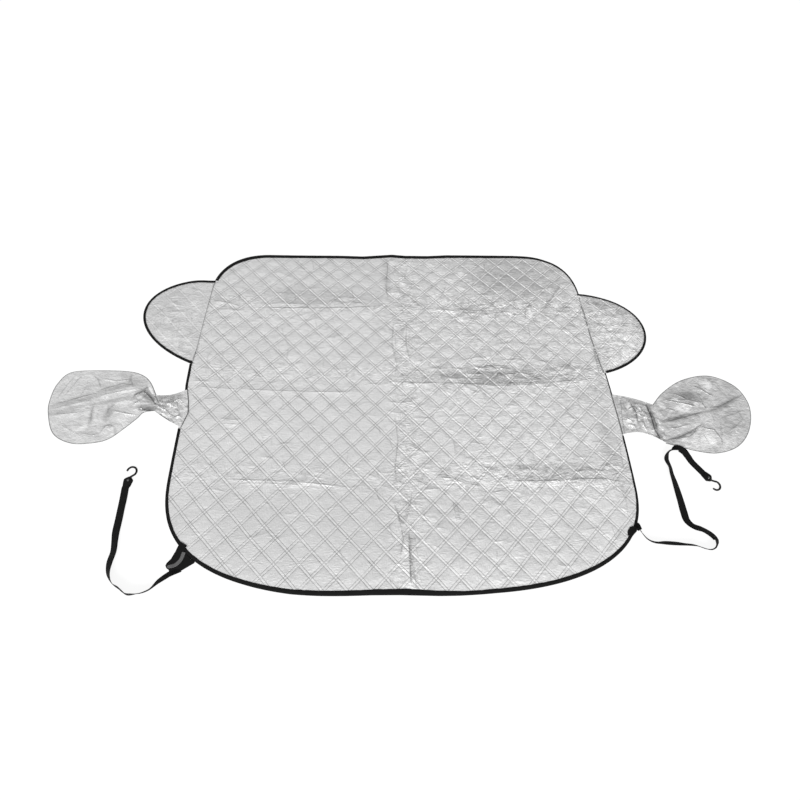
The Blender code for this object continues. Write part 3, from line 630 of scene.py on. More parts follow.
# Creases of the panel, as (rise, spread left, spread right, places) in mm and metres
PANEL_CREASES = (
    # Top fold, left half, with the wrinkles above it
    (3.2, 70, 40, ((-0.56, 0.346), (-0.42, 0.343), (-0.30, 0.345), (-0.17, 0.350), (-0.06, 0.362))),
    (1.6, 5, 4, ((-0.47, 0.361), (-0.40, 0.363), (-0.33, 0.360))),
    (1.4, 5, 4, ((-0.46, 0.409), (-0.36, 0.407))),
    (2.0, 5, 4, ((-0.27, 0.375), (-0.20, 0.371), (-0.12, 0.368))),
    (1.6, 4, 4, ((-0.21, 0.392), (-0.15, 0.388), (-0.09, 0.384))),
    (1.6, 5, 5, ((-0.36, 0.430), (-0.28, 0.432))),
    (2.5, 12, 10, ((-0.68, 0.372), (-0.62, 0.366), (-0.56, 0.346))),
    (2.0, 6, 8, ((-0.66, 0.330), (-0.60, 0.334), (-0.55, 0.330))),
    (2.6, 5, 5, ((-0.11, 0.335), (-0.085, 0.352), (-0.06, 0.372))),
    (2.2, 5, 5, ((-0.09, 0.325), (-0.07, 0.345), (-0.045, 0.362))),
    # Top fold, right half
    (2.6, 8, 5, ((0.08, 0.352), (0.18, 0.346), (0.26, 0.345), (0.33, 0.340))),
    (2.2, 5, 4, ((0.18, 0.333), (0.26, 0.334), (0.33, 0.332))),
    (2.4, 45, 25, ((0.26, 0.360), (0.35, 0.357), (0.44, 0.357))),
    (2.2, 6, 5, ((0.34, 0.335), (0.38, 0.343), (0.41, 0.340))),
    (4.0, 5, 6, ((0.468, 0.388), (0.470, 0.360), (0.472, 0.330))),
    (3.0, 4, 5, ((0.449, 0.350), (0.446, 0.330), (0.444, 0.312))),
    (2.8, 40, 25, ((0.515, 0.372), (0.545, 0.400), (0.568, 0.432), (0.592, 0.466), (0.625, 0.488))),
    (2.4, 6, 5, ((0.58, 0.362), (0.62, 0.368), (0.66, 0.366))),
    (2.0, 5, 5, ((0.52, 0.345), (0.56, 0.352), (0.60, 0.345))),
    (1.8, 5, 5, ((0.450, 0.290), (0.452, 0.260), (0.448, 0.235))),
    (2.4, 10, 10, ((0.51, 0.345), (0.56, 0.300), (0.62, 0.235), (0.655, 0.200))),
    # Middle fold
    (2.0, 10, 7, ((-0.69, 0.037), (-0.60, 0.028), (-0.45, 0.022), (-0.30, 0.018), (-0.10, 0.020))),
    (3.5, 9, 10, ((-0.06, 0.060), (0.00, 0.053), (0.06, 0.052), (0.12, 0.056))),
    (4.2, 34, 36, ((0.10, 0.056), (0.20, 0.052), (0.30, 0.053), (0.42, 0.056), (0.52, 0.062))),
    (3.0, 30, 30, ((0.50, 0.060), (0.58, 0.066), (0.66, 0.078))),
    (3.0, 6, 6, ((0.12, 0.082), (0.17, 0.072), (0.22, 0.075))),
    (3.0, 6, 6, ((0.20, 0.092), (0.26, 0.088), (0.31, 0.078))),
    (2.8, 6, 6, ((0.29, 0.096), (0.34, 0.086), (0.39, 0.092))),
    (2.4, 5, 5, ((0.11, 0.105), (0.16, 0.112), (0.22, 0.104))),
    (2.4, 5, 5, ((0.23, 0.118), (0.28, 0.112), (0.33, 0.112), (0.39, 0.108))),
    (2.2, 5, 5, ((0.20, 0.142), (0.25, 0.152), (0.30, 0.156))),
    (2.0, 5, 5, ((0.33, 0.148), (0.39, 0.146), (0.44, 0.150))),
    (2.2, 5, 6, ((0.46, 0.145), (0.50, 0.138))),
    (2.6, 6, 6, ((0.55, 0.110), (0.59, 0.118), (0.63, 0.112))),
    (2.4, 5, 5, ((0.20, 0.044), (0.225, 0.030), (0.255, 0.018))),
    (2.4, 5, 5, ((0.235, 0.046), (0.262, 0.030), (0.285, 0.012))),
    (2.0, 5, 5, ((0.13, 0.042), (0.155, 0.030), (0.18, 0.020))),
    (1.8, 5, 5, ((0.33, -0.022), (0.37, -0.028), (0.40, -0.020))),
    (2.0, 6, 5, ((-0.06, -0.045), (-0.02, -0.055), (0.02, -0.050))),
    (2.0, 5, 5, ((-0.05, -0.012), (-0.01, -0.020), (0.03, -0.012))),
    # Lower fold
    (2.4, 9, 5, ((-0.56, -0.270), (-0.47, -0.275), (-0.36, -0.277), (-0.27, -0.286), (-0.15, -0.300))),
    (1.8, 5, 7, ((-0.50, -0.284), (-0.40, -0.285), (-0.30, -0.292))),
    (3.8, 30, 30, ((0.29, -0.277), (0.38, -0.280), (0.47, -0.278), (0.55, -0.272), (0.62, -0.273),
                  (0.70, -0.285))),
    (2.6, 7, 5, ((0.09, -0.268), (0.14, -0.270), (0.19, -0.288))),
    (2.2, 6, 5, ((0.05, -0.304), (0.12, -0.301))),
    (2.2, 5, 5, ((0.53, -0.250), (0.58, -0.244), (0.63, -0.250))),
    (2.4, 5, 5, ((0.34, -0.246), (0.38, -0.240), (0.42, -0.246))),
    (2.2, 5, 5, ((0.61, -0.232), (0.65, -0.226), (0.69, -0.236))),
    (2.0, 5, 5, ((-0.58, -0.078), (-0.54, -0.082), (-0.50, -0.079))),
    (1.8, 5, 5, ((-0.57, -0.094), (-0.52, -0.098))),
    # Long fold down the middle
    (3.0, 5, 12, ((-0.052, 0.580), (-0.050, 0.520), (-0.056, 0.450), (-0.048, 0.380))),
    (2.2, 6, 8, ((-0.030, 0.300), (-0.036, 0.200), (-0.020, 0.120), (-0.030, 0.060))),
    (2.4, 8, 6, ((0.016, 0.290), (0.012, 0.200), (0.030, 0.120))),
    (2.4, 6, 8, ((-0.030, -0.060), (-0.020, -0.150), (-0.030, -0.240), (-0.022, -0.320))),
    (3.0, 5, 6, ((-0.040, -0.330), (-0.022, -0.380), (-0.008, -0.450), (-0.020, -0.510))),
    (2.6, 5, 5, ((0.020, -0.310), (0.012, -0.360), (-0.004, -0.410))),
    (6.0, 4, 12, ((0.008, -0.425), (0.009, -0.490), (0.011, -0.578))),
    (-2.6, 6, 6, ((0.020, -0.480), (0.024, -0.530), (0.028, -0.580))),
    # Short upright creases
    (2.2, 4, 4, ((0.142, -0.338), (0.145, -0.370), (0.149, -0.402))),
    (2.0, 4, 4, ((0.152, -0.345), (0.156, -0.375), (0.160, -0.400))),
    (1.8, 5, 4, ((0.155, -0.145), (0.158, -0.170), (0.157, -0.195))),
    (1.8, 5, 4, ((0.468, -0.105), (0.471, -0.135), (0.474, -0.168))),
    (2.6, 6, 6, ((0.684, -0.130), (0.690, -0.180), (0.686, -0.250))),
    (2.4, 5, 6, ((0.664, -0.300), (0.672, -0.340), (0.668, -0.390))),
    (2.0, 5, 5, ((0.146, -0.052), (0.160, -0.036), (0.176, -0.020))),
    (1.8, 5, 5, ((0.640, -0.430), (0.612, -0.470), (0.580, -0.500))),
)

# Dark lines drawn over the crease marks, as (darkness, places): the seams that hold the flaps, and
# painted shade along the panel's folds at right
PANEL_SEAMS_AND_FOLD_SHADE = (
    (5.5, ((-0.6710, 0.4515), (-0.6761, 0.4029), (-0.6828, 0.3217), (-0.6880, 0.2357),
           (-0.6915, 0.1650), (-0.6964, 0.1155))),
    (8.0, ((0.662, 0.410), (0.664, 0.368), (0.667, 0.342), (0.670, 0.290), (0.673, 0.243),
           (0.677, 0.210), (0.682, 0.170), (0.686, 0.138), (0.692, 0.105))),
    (4.0, ((0.673, 0.206), (0.6735, 0.158), (0.676, 0.110))),
    (4.0, ((0.600, 0.4705), (0.561, 0.415), (0.524, 0.369))),
    (4.0, ((0.510, 0.347), (0.555, 0.305), (0.599, 0.259), (0.636, 0.222))),
    (3.0, ((0.223, 0.048), (0.324, 0.0455), (0.427, 0.050), (0.480, 0.056))),
    (3.0, ((0.174, 0.344), (0.246, 0.337), (0.318, 0.330))),
    (4.0, ((0.344, 0.339), (0.377, 0.344), (0.405, 0.332))),
    (3.0, ((0.125, 0.0845), (0.1645, 0.0736), (0.197, 0.059))),
    (3.5, ((0.244, 0.090), (0.282, 0.098), (0.321, 0.083))),
    (3.5, ((0.3815, 0.099), (0.4185, 0.092), (0.464, 0.0695))),
    (3.0, ((0.2805, 0.121), (0.350, 0.122))),
    (3.0, ((0.4865, 0.108), (0.541, 0.120), (0.592, 0.113))),
)

# Creases of the necks and pockets, as (rise, spread left, spread right, places)
NECK_CREASES = {
    "left": (
        (4.5, 4, 5, ((-0.826, 0.051), (-0.806, 0.012), (-0.786, -0.026))),
        (4.0, 4, 4, ((-0.786, -0.026), (-0.764, -0.043), (-0.747, -0.050), (-0.732, -0.067),
                     (-0.713, -0.073), (-0.694, -0.060))),
        (3.0, 4, 4, ((-0.804, 0.019), (-0.782, -0.016), (-0.768, -0.036))),
        (3.0, 4, 4, ((-0.814, -0.040), (-0.803, -0.016), (-0.798, 0.005))),
        (3.0, 4, 4, ((-0.802, -0.054), (-0.782, -0.047), (-0.755, -0.060), (-0.728, -0.087))),
        (2.5, 4, 5, ((-0.782, 0.002), (-0.750, -0.005), (-0.724, 0.009), (-0.704, 0.020))),
        (2.5, 4, 5, ((-0.765, -0.022), (-0.739, -0.029), (-0.723, -0.015), (-0.703, -0.008))),
        (2.0, 4, 4, ((-0.749, 0.023), (-0.734, -0.005), (-0.733, -0.029))),
        (2.5, 4, 4, ((-0.720, -0.100), (-0.704, -0.087), (-0.692, -0.070))),
    ),
    "right": (
        (3.0, 3, 5, ((0.725, 0.008), (0.724, -0.043), (0.730, -0.092), (0.734, -0.120))),
        (4.0, 4, 5, ((0.745, 0.009), (0.760, -0.017), (0.769, -0.053), (0.768, -0.089))),
        (3.5, 4, 5, ((0.769, -0.010), (0.790, -0.035), (0.799, -0.071))),
        (4.0, 4, 5, ((0.729, -0.064), (0.750, -0.078), (0.760, -0.110))),
        (3.0, 4, 4, ((0.714, -0.103), (0.741, -0.089), (0.764, -0.103))),
        (3.5, 4, 5, ((0.792, -0.013), (0.813, -0.028), (0.822, -0.046))),
        (4.5, 4, 6, ((0.816, -0.028), (0.822, -0.060), (0.829, -0.088), (0.823, -0.123),
                     (0.841, -0.147))),
        (3.5, 4, 4, ((0.782, -0.071), (0.791, -0.103), (0.811, -0.134))),
        (2.5, 4, 4, ((0.746, -0.035), (0.768, -0.028), (0.786, -0.053))),
    ),
}
POCKET_CREASES = {
    "left": (
        (1.6, 5, 9, ((-1.105, -0.039), (-1.049, -0.021), (-0.968, 0.007))),
        (1.8, 9, 5, ((-0.970, 0.014), (-0.899, 0.040), (-0.857, 0.033))),
        (1.2, 6, 6, ((-1.099, -0.049), (-1.043, -0.035), (-0.969, -0.014))),
        (1.4, 5, 9, ((-1.094, -0.066), (-1.038, -0.064), (-0.963, -0.052))),
        (1.6, 5, 5, ((-0.960, -0.003), (-0.934, 0.004), (-0.893, 0.015), (-0.851, 0.022))),
        (2.5, 4, 8, ((-1.090, -0.015), (-1.072, 0.031), (-1.053, 0.074))),
        (2.0, 4, 7, ((-1.109, 0.009), (-1.096, 0.048), (-1.077, 0.081))),
        (2.0, 4, 6, ((-1.069, -0.004), (-1.049, 0.035), (-1.034, 0.074))),
        (1.4, 7, 5, ((-0.969, -0.028), (-0.973, -0.058), (-0.966, -0.098))),
        (1.6, 6, 6, ((-0.992, -0.125), (-0.957, -0.134), (-0.932, -0.128), (-0.921, -0.106),
                     (-0.905, -0.101), (-0.894, -0.110), (-0.888, -0.128))),
        (1.6, 5, 6, ((-0.905, -0.030), (-0.922, -0.048), (-0.925, -0.068))),
        (3.0, 4, 6, ((-0.908, -0.054), (-0.861, -0.063), (-0.826, -0.068))),
        (2.0, 3, 6, ((-0.879, 0.080), (-0.876, 0.051), (-0.864, 0.026))),
        (3.5, 4, 6, ((-0.857, -0.009), (-0.834, 0.015), (-0.818, 0.044))),
        (3.0, 4, 5, ((-0.855, -0.034), (-0.831, -0.016), (-0.809, 0.016))),
        (2.5, 4, 5, ((-0.866, 0.076), (-0.834, 0.058), (-0.816, 0.030))),
        (2.0, 5, 7, ((-0.975, 0.060), (-0.920, 0.050), (-0.878, 0.058))),
        (1.8, 8, 8, ((-1.011, 0.082), (-0.979, 0.053), (-0.962, 0.021))),
        (1.8, 8, 8, ((-1.054, -0.102), (-1.003, -0.128), (-0.958, -0.154))),
        (1.5, 6, 8, ((-0.877, -0.098), (-0.895, -0.124), (-0.925, -0.147))),
    ),
    "right": (
        (4.0, 10, 5, ((0.869, 0.004), (0.934, -0.012), (0.989, -0.026))),
        (3.5, 4, 6, ((0.993, 0.000), (1.007, -0.011), (1.014, -0.037))),
        (4.0, 7, 5, ((1.019, -0.030), (1.060, -0.026), (1.120, 0.001), (1.166, 0.024))),
        (4.0, 7, 5, ((0.836, -0.074), (0.873, -0.079), (0.936, -0.063), (1.013, -0.041))),
        (3.0, 4, 7, ((0.841, -0.147), (0.892, -0.137), (0.931, -0.133), (0.969, -0.103))),
        (3.5, 8, 14, ((0.975, -0.098), (1.020, -0.108), (1.035, -0.143), (1.030, -0.184))),
        (3.0, 6, 8, ((0.995, 0.056), (1.027, 0.034), (1.060, 0.011))),
        (2.5, 5, 8, ((1.059, 0.080), (1.076, 0.053), (1.090, 0.031))),
        (2.0, 6, 6, ((0.973, 0.068), (1.014, 0.060), (1.045, 0.034))),
        (3.0, 5, 6, ((0.889, 0.029), (0.925, 0.021), (0.961, -0.001))),
        (2.5, 4, 5, ((0.842, -0.020), (0.878, -0.001), (0.915, 0.006))),
        (2.5, 4, 5, ((0.843, -0.045), (0.880, -0.034), (0.909, -0.041))),
        (3.0, 4, 5, ((0.836, -0.002), (0.851, -0.038), (0.873, -0.074))),
        (2.5, 6, 6, ((0.845, -0.102), (0.893, -0.102), (0.944, -0.088))),
        (2.0, 6, 8, ((0.924, -0.161), (0.972, -0.167), (1.018, -0.161))),
        (2.0, 6, 8, ((0.979, -0.119), (0.989, -0.154), (0.987, -0.184))),
        (2.0, 8, 8, ((1.060, -0.066), (1.110, -0.051), (1.159, -0.029))),
        (1.8, 10, 10, ((1.065, -0.115), (1.108, -0.090), (1.146, -0.058))),
    ),
}


# Finishes

def crinkle_of(tree, place, cell, stretch, lean):
    """Crease lines where a noise crosses its middle, longer along one direction by the
    stretch: 0 on a line, rising to 1 away from it as (4 |noise - 0.5|)^0.7."""
    turned = node(tree, "Mapping", {"Vector": place, "Rotation": (0.0, 0.0, lean),
                                    "Scale": (1 / cell, stretch / cell, 1 / cell)})
    level = node(tree, "TexNoise", {"Vector": turned, "Scale": 1.0, "Detail": 3.0,
                                    "Roughness": 0.55}, "Fac")
    for operation, *values in (("SUBTRACT", 0.5), ("ABSOLUTE",), ("MULTIPLY", 4.0), ("POWER", 0.7)):
        level = node(tree, "Math", (level, *values), operation=operation)
    return level


def lit_crinkle(tree, place, layers):
    """Summed crinkle layers at a place, and their rise from there over a step of 2 mm away from
    the studio's light, which tells the bright sides of creases too fine for the bump to show."""
    sums = []
    for step in ((0.0, 0.0, 0.0), (0.0004, 0.0019, 0.0)):
        moved = node(tree, "VectorMath", (place, step), operation="ADD")
        total = 0.0
        for weight, *shape in layers:
            total = node(tree, "Math", (crinkle_of(tree, moved, *shape), weight, total),
                         operation="MULTIPLY_ADD")
        sums.append(total)
    return sums[0], node(tree, "Math", (sums[1], sums[0]), operation="SUBTRACT")


def painted_facet_shade(tree, place, bend, wear, layers, gain, least):
    """Painted shade and highlight of crumpled film's flat facets, as a tone about 1: each facet's random
    level stands in for the light that its tilt catches.  A layer is (weight, cell, stretch, lean): a
    random level for each cell of a Voronoi pattern that is longer along one direction by the stretch,
    with edges that a noise bends.  The layers' sum, less 0.5, counts more where the film is worn."""
    shift = node(tree, "TexNoise", {"Vector": place, "Scale": 25.0}, "Color")
    bent = node(tree, "VectorMath", (shift, (bend, bend, 0.0), place), operation="MULTIPLY_ADD")
    total = -0.5
    for weight, cell, stretch, lean in layers:
        turned = node(tree, "Mapping", {"Vector": bent, "Rotation": (0.0, 0.0, lean),
                                        "Scale": (1 / cell, stretch / cell, 1 / cell)})
        cells = node(tree, "TexVoronoi", {"Vector": turned, "Scale": 1.0}, "Color")
        total = node(tree, "Math", (node(tree, "SeparateColor", (cells,)), weight, total),
                     operation="MULTIPLY_ADD")
    amount = node(tree, "Math", (wear, gain, least), operation="MULTIPLY_ADD")
    return node(tree, "Math", (total, amount, 1.0), operation="MULTIPLY_ADD")


def sharp_crease(tree, width):
    """Crease line from the piece's own crease marks: its rise times exp(-(gap / width)^2 / 2).  The
    finishes darken their colour by it, as painted shade along creases and folds and as the dark line of
    a seam, and also bump by it.
    """
    gap, rise = (node(tree, "Attribute", out="Fac", attribute_name=name)
                 for name in ("crease_gap", "crease_rise"))
    ratio = node(tree, "Math", (gap, width), operation="DIVIDE")
    bell = node(tree, "Math", (ratio, ratio), operation="MULTIPLY")
    bell = node(tree, "Math", (bell, -0.5), operation="MULTIPLY")
    bell = node(tree, "Math", (bell,), operation="EXPONENT")
    return node(tree, "Math", (rise, bell), operation="MULTIPLY")


def film_gloss(tree, place, size, low, high):
    """Roughness of crumpled film: uneven over the sheet, and near 1 where the sheet is seen along
    its surface, because its many small faces then spread the highlight."""
    grain = node(tree, "TexNoise", {"Vector": place, "Scale": 1 / size, "Detail": 3.0}, "Fac")
    flat_view = node(tree, "LayerWeight", {"Blend": 0.5}, "Facing")
    levels = [node(tree, "MapRange", spread)
              for spread in ((grain, 0.3, 0.7, low, high), (flat_view, 0.26, 0.46, 0.0, 0.95))]
    return node(tree, "Math", levels, operation="MAXIMUM")


def toned(tree, colour, *tones):
    """A colour times its tones.  A tone is a number, or (value, low, high, least, most) for a
    value that is spread from one range to another."""
    factors = [node(tree, "MapRange", tone) if isinstance(tone, tuple) else tone for tone in tones]
    level = factors[0]
    for factor in factors[1:]:
        level = node(tree, "Math", (level, factor), operation="MULTIPLY")
    return node(tree, "Mix", {0: 1.0, 6: (*colour, 1.0), 7: level}, 2, data_type="RGBA",
                blend_type="MULTIPLY")


def bump_into(tree, shader, *layers):
    """Bump from summed layers of (value, height in mm)."""
    height = 0.0
    for value, rise in layers:
        height = node(tree, "Math", (value, rise, height), operation="MULTIPLY_ADD")
    bump = node(tree, "Bump", {"Height": height, "Distance": MM})
    tree.links.new(bump, shader.inputs["Normal"])


def foil_finish():
    """Aluminised polyester film on padding, sewn in double rows: semi-gloss metal with a fine crinkle,
    thin thread lines that sink into it and slightly uneven sheen.  Its colour carries painted shading of
    the crinkle and the facets, painted shade along creases and in patches, and painted highlights on the
    welts."""
    colours, sizes = bpy.context.scene.cover_colours, bpy.context.scene.quilt_sizes
    made, tree, shader = new_material("quilted_silver_film", colours.foil, 0.48, 0.30)
    place = node(tree, "TexCoord", out="Object")
    lattice = node(tree, "SeparateXYZ", (node(tree, "UVMap", uv_map="UVMap"),), None)
    wear, dull, sewn = (node(tree, "Attribute", out="Fac", attribute_name=name)
                        for name in ("wear", "dull", "sewn"))
    pull, share, grain, patch = (
        node(tree, "TexNoise", {"Vector": place, "Scale": 1 / cell, "Detail": detail}, "Fac")
        for cell, detail in ((0.035, 3.0), (0.045, 2.0), (0.005, 2.0), (0.11, 4.0)))
    rows, welts = [], []
    for axis, pitch in enumerate((sizes.pitch_u, sizes.pitch_v)):
        away = node(tree, "Math", (lattice[axis], 0.5), operation="PINGPONG")
        away = node(tree, "Math", (away, pitch / MM), operation="MULTIPLY")
        off = node(tree, "Math", (away, sizes.stitch_gap / 2 / MM), operation="SUBTRACT")
        off = node(tree, "Math", (off,), operation="ABSOLUTE")
        # Thread is too fine to show, so a row is drawn 2 mm wide in the thread's colour: the thread
        # itself and the painted shade of the dent that it pulls
        row = node(tree, "MapRange", (off, 1.4, 0.6))
        # Stitches of 4 mm, with a gap of a seventh between them
        beat = node(tree, "Math", (lattice[1 - axis], pitch / (4 * MM)), operation="MULTIPLY")
        beat = node(tree, "Math", (beat,), operation="FRACT")
        beat = node(tree, "Math", (beat, 0.85), operation="LESS_THAN")
        rows.append(node(tree, "Math", (row, beat), operation="MULTIPLY"))
        welts.append(node(tree, "MapRange", (away, 3.4, 2.6)))
    rows[1] = node(tree, "Math", (rows[1], 0.85), operation="MULTIPLY")
    welts[1] = node(tree, "Math", (welts[1], 0.45), operation="MULTIPLY")
    thread, welt = (node(tree, "Math", pair, operation="MAXIMUM") for pair in (rows, welts))
    pull = node(tree, "MapRange", (pull, 0.35, 0.62, 0.60, 1.0))
    for factor in (pull, sewn):
        thread = node(tree, "Math", (thread, factor), operation="MULTIPLY")
    # Painted highlight on the welts between the two rows of a stitch line, where the film is worn
    painted_welt_highlight = node(tree, "Math", (welt, sewn), operation="MULTIPLY")
    worn = node(tree, "MapRange", (wear, 0.12, 0.50))
    painted_welt_highlight = node(tree, "Math", (painted_welt_highlight, worn), operation="MULTIPLY")
    share = node(tree, "MapRange", (share, 0.42, 0.58))
    upright = node(tree, "Math", (1.0, share), operation="SUBTRACT")
    level_weight = node(tree, "Math", (share, 0.55), operation="MULTIPLY")
    upright_weight = node(tree, "Math", (upright, 0.45), operation="MULTIPLY")
    crease, lit = lit_crinkle(tree, place, (
        (level_weight, 0.030, 3.2, 0.06), (upright_weight, 0.0075, 0.30, 0.03),
        (0.30, 0.014, 2.0, -0.30)))
    amount = node(tree, "Math", (wear, 1.6, 0.02), operation="MULTIPLY_ADD")
    lit = node(tree, "Math", (lit, amount), operation="MULTIPLY")
    # Painted shade in the cells between the welts, from the patches of painted shade, and painted
    # highlight where those are negative
    between = node(tree, "Math", (1.0, welt), operation="SUBTRACT")
    dim = node(tree, "Math", (dull, between), operation="MULTIPLY")
    facet = painted_facet_shade(tree, place, 0.008, wear,
                       ((0.6, 0.020, 1.8, 0.1), (0.4, 0.009, 1.7, -0.3)), 0.50, 0.02)
    sharp = sharp_crease(tree, 1.5)
    # Painted light in this colour: the crinkle's painted shading, the facets' painted shade, painted
    # shade along creases beside the seams' own dark lines, a painted highlight on the welts, and in the
    # cells patches of painted shade, and of painted highlight where the share is negative
    foil = toned(tree, colours.foil, (patch, 0.3, 0.7, 0.96, 1.03), (lit, -0.4, 0.4, 0.60, 1.32),
                 facet, (grain, 0.35, 0.65, 0.97, 1.02), (sharp, 0.0, 8.0, 1.0, 0.12),
                 (painted_welt_highlight, 0.0, 1.0, 1.0, 1.16), (dim, -1.0, 1.0, 1.32, 0.68))
    cover = node(tree, "Math", (thread, 0.8), operation="MULTIPLY")
    foil = node(tree, "Mix", {0: cover, 6: foil, 7: (*colours.thread, 1.0)}, 2, data_type="RGBA")
    tree.links.new(foil, shader.inputs["Base Color"])
    tree.links.new(film_gloss(tree, place, 0.03, 0.42, 0.56), shader.inputs["Roughness"])
    low_sharp = node(tree, "Math", (sharp, 3.0), operation="MINIMUM")
    bump_into(tree, shader, (crease, 0.8), (grain, 0.30), (low_sharp, 0.30), (thread, -0.40))
    return made


def film_finish():
    """Thin aluminised film, not quilted: glossier than the panel, with sharp creases, and a dark
    overlock seam along the outer edge, where the UV map's second part reaches 1.  Its colour carries
    painted shading of the crinkle and the facets, painted shade along its creases and folds, and patches
    of painted shade and painted highlight."""
    colours = bpy.context.scene.cover_colours
    made, tree, shader = new_material("loose_silver_film", colours.film, 0.42, 0.35)
    place = node(tree, "TexCoord", out="Object")
    pattern = node(tree, "SeparateXYZ", (node(tree, "UVMap", uv_map="UVMap"),), None)
    wear, dull = (node(tree, "Attribute", out="Fac", attribute_name=name)
                  for name in ("wear", "dull"))
    grain, patch = (
        node(tree, "TexNoise", {"Vector": place, "Scale": 1 / cell, "Detail": detail}, "Fac")
        for cell, detail in ((0.004, 2.0), (0.05, 4.0)))
    seam = node(tree, "MapRange", (pattern[1], 0.980, 0.992))
    seam = node(tree, "Math", (seam, 0.9), operation="MULTIPLY")
    crease, lit = lit_crinkle(tree, place, (
        (0.7, 0.030, 1.3, 0.6), (0.35, 0.010, 1.6, -0.4), (0.25, 0.0045, 1.3, 0.9)))
    amount = node(tree, "Math", (wear, 0.8, 0.3), operation="MULTIPLY_ADD")
    lit = node(tree, "Math", (lit, amount), operation="MULTIPLY")
    facet = painted_facet_shade(tree, place, 0.012, wear,
                       ((0.5, 0.048, 1.5, 0.5), (0.5, 0.015, 1.4, -0.3)), 0.55, 0.12)
    sharp = sharp_crease(tree, 2.0)
    # Painted light in this colour: the crinkle's painted shading, the facets' painted shade, painted
    # shade along creases and folds, and patches of painted shade, and of painted highlight where the
    # share is negative
    film = toned(tree, colours.film, (patch, 0.3, 0.7, 0.95, 1.04), (lit, -0.4, 0.4, 0.60, 1.30),
                 facet, (sharp, 0.0, 8.0, 1.0, 0.10), (dull, -1.0, 1.0, 1.55, 0.45))
    film = node(tree, "Mix", {0: seam, 6: film, 7: (*colours.seam, 1.0)}, 2, data_type="RGBA")
    tree.links.new(film, shader.inputs["Base Color"])
    tree.links.new(film_gloss(tree, place, 0.02, 0.36, 0.50), shader.inputs["Roughness"])
    low_sharp = node(tree, "Math", (sharp, 3.0), operation="MINIMUM")
    bump_into(tree, shader, (crease, 0.9), (grain, 0.2), (low_sharp, 0.35))
    return made


def woven_finish(name, colour, roughness, rib, depth):
    """Black polyester cloth: ribs across the UV map's first part, with a faint weave between."""
    made, tree, shader = new_material(name, colour, roughness, 0.0, Specular_IOR_Level=0.15)
    pattern = node(tree, "SeparateXYZ", (node(tree, "UVMap", uv_map="UVMap"),), None)
    waves = []
    for part, turns in ((pattern[0], 1.0), (pattern[1], 1.5)):
        turn = node(tree, "Math", (part, 2 * math.pi / rib * turns), operation="MULTIPLY")
        waves.append(node(tree, "Math", (turn,), operation="SINE"))
    weave = node(tree, "Math", (waves[1], 0.5, waves[0]), operation="MULTIPLY_ADD")
    dust = node(tree, "TexNoise", {"Vector": node(tree, "TexCoord", out="Object"),
                                   "Scale": 1 / 0.02, "Detail": 4.0}, "Fac")
    cloth = toned(tree, colour, (dust, 0.3, 0.7, 0.8, 1.25), (weave, -1.5, 1.5, 0.85, 1.15))
    tree.links.new(cloth, shader.inputs["Base Color"])
    bump_into(tree, shader, (weave, depth))
    return made


def coated_finish():
    """Steel wire dipped in black vinyl: smooth, soft gloss, slightly uneven skin."""
    colours = bpy.context.scene.cover_colours
    made, tree, shader = new_material("vinyl_coated_wire", colours.wire, 0.40, 0.0,
                                      Specular_IOR_Level=0.25)
    place = node(tree, "TexCoord", out="Object")
    cloudy, skin = (node(tree, "TexNoise", {"Vector": place, "Scale": 1 / cell}, "Fac")
                    for cell in (0.006, 0.002))
    tree.links.new(toned(tree, colours.wire, (cloudy, 0.3, 0.7, 0.85, 1.15)),
                   shader.inputs["Base Color"])
    bump_into(tree, shader, (skin, 0.05))
    return made


def rivet_finish():
    """Pressed nickel-plated steel, made matt by handling."""
    made, tree, shader = new_material("nickel_plated_steel", linear("6E6E6E"), 0.42, 1.0)
    grain = node(tree, "TexNoise", {"Vector": node(tree, "TexCoord", out="Object"),
                                    "Scale": 1 / 0.001}, "Fac")
    tree.links.new(node(tree, "MapRange", (grain, 0.3, 0.7, 0.30, 0.50)), shader.inputs["Roughness"])
    return made


def finish_named(name, maker):
    """A material that is made once and shared by the pieces of that finish."""
    return bpy.data.materials.get(name) or maker()


# Quilting

LATTICE_U = (math.radians(44.25), 0.0132)     # direction across one set of stitch lines, offset
LATTICE_V = (math.radians(-45.5), 0.0050)


def lattice_of(points):
    """Quilt coordinates of places: distance along each direction, less its offset, in pitches."""
    sizes = bpy.context.scene.quilt_sizes
    found = []
    for (turn, offset), pitch in ((LATTICE_U, sizes.pitch_u), (LATTICE_V, sizes.pitch_v)):
        along = points[..., 0] * math.cos(turn) + points[..., 1] * math.sin(turn)
        found.append((along - offset) / pitch)
    return found


def place_of(u, v):
    """Places of quilt coordinates: the inverse of lattice_of."""
    sizes = bpy.context.scene.quilt_sizes
    rows = [[math.cos(turn), math.sin(turn)] for turn, _ in (LATTICE_U, LATTICE_V)]
    back = np.linalg.inv(np.array(rows))
    along = np.stack([u * sizes.pitch_u + LATTICE_U[1], v * sizes.pitch_v + LATTICE_V[1]], axis=-1)
    return along @ back.T


def quilt_marks(low, high):
    """Quilt coordinates of the grid's lines: the seam, its two rows and four pairs beyond."""
    sizes = bpy.context.scene.quilt_sizes
    row = sizes.stitch_gap / (sizes.pitch_u + sizes.pitch_v)
    beyond = row + (0.5 - row) * np.array([0.13, 0.34, 0.56, 0.83])
    half = np.concatenate([[row], beyond])
    shares = np.concatenate([-half[::-1], [0.0], half])
    return (np.arange(low, high + 1)[:, None] + shares).ravel()


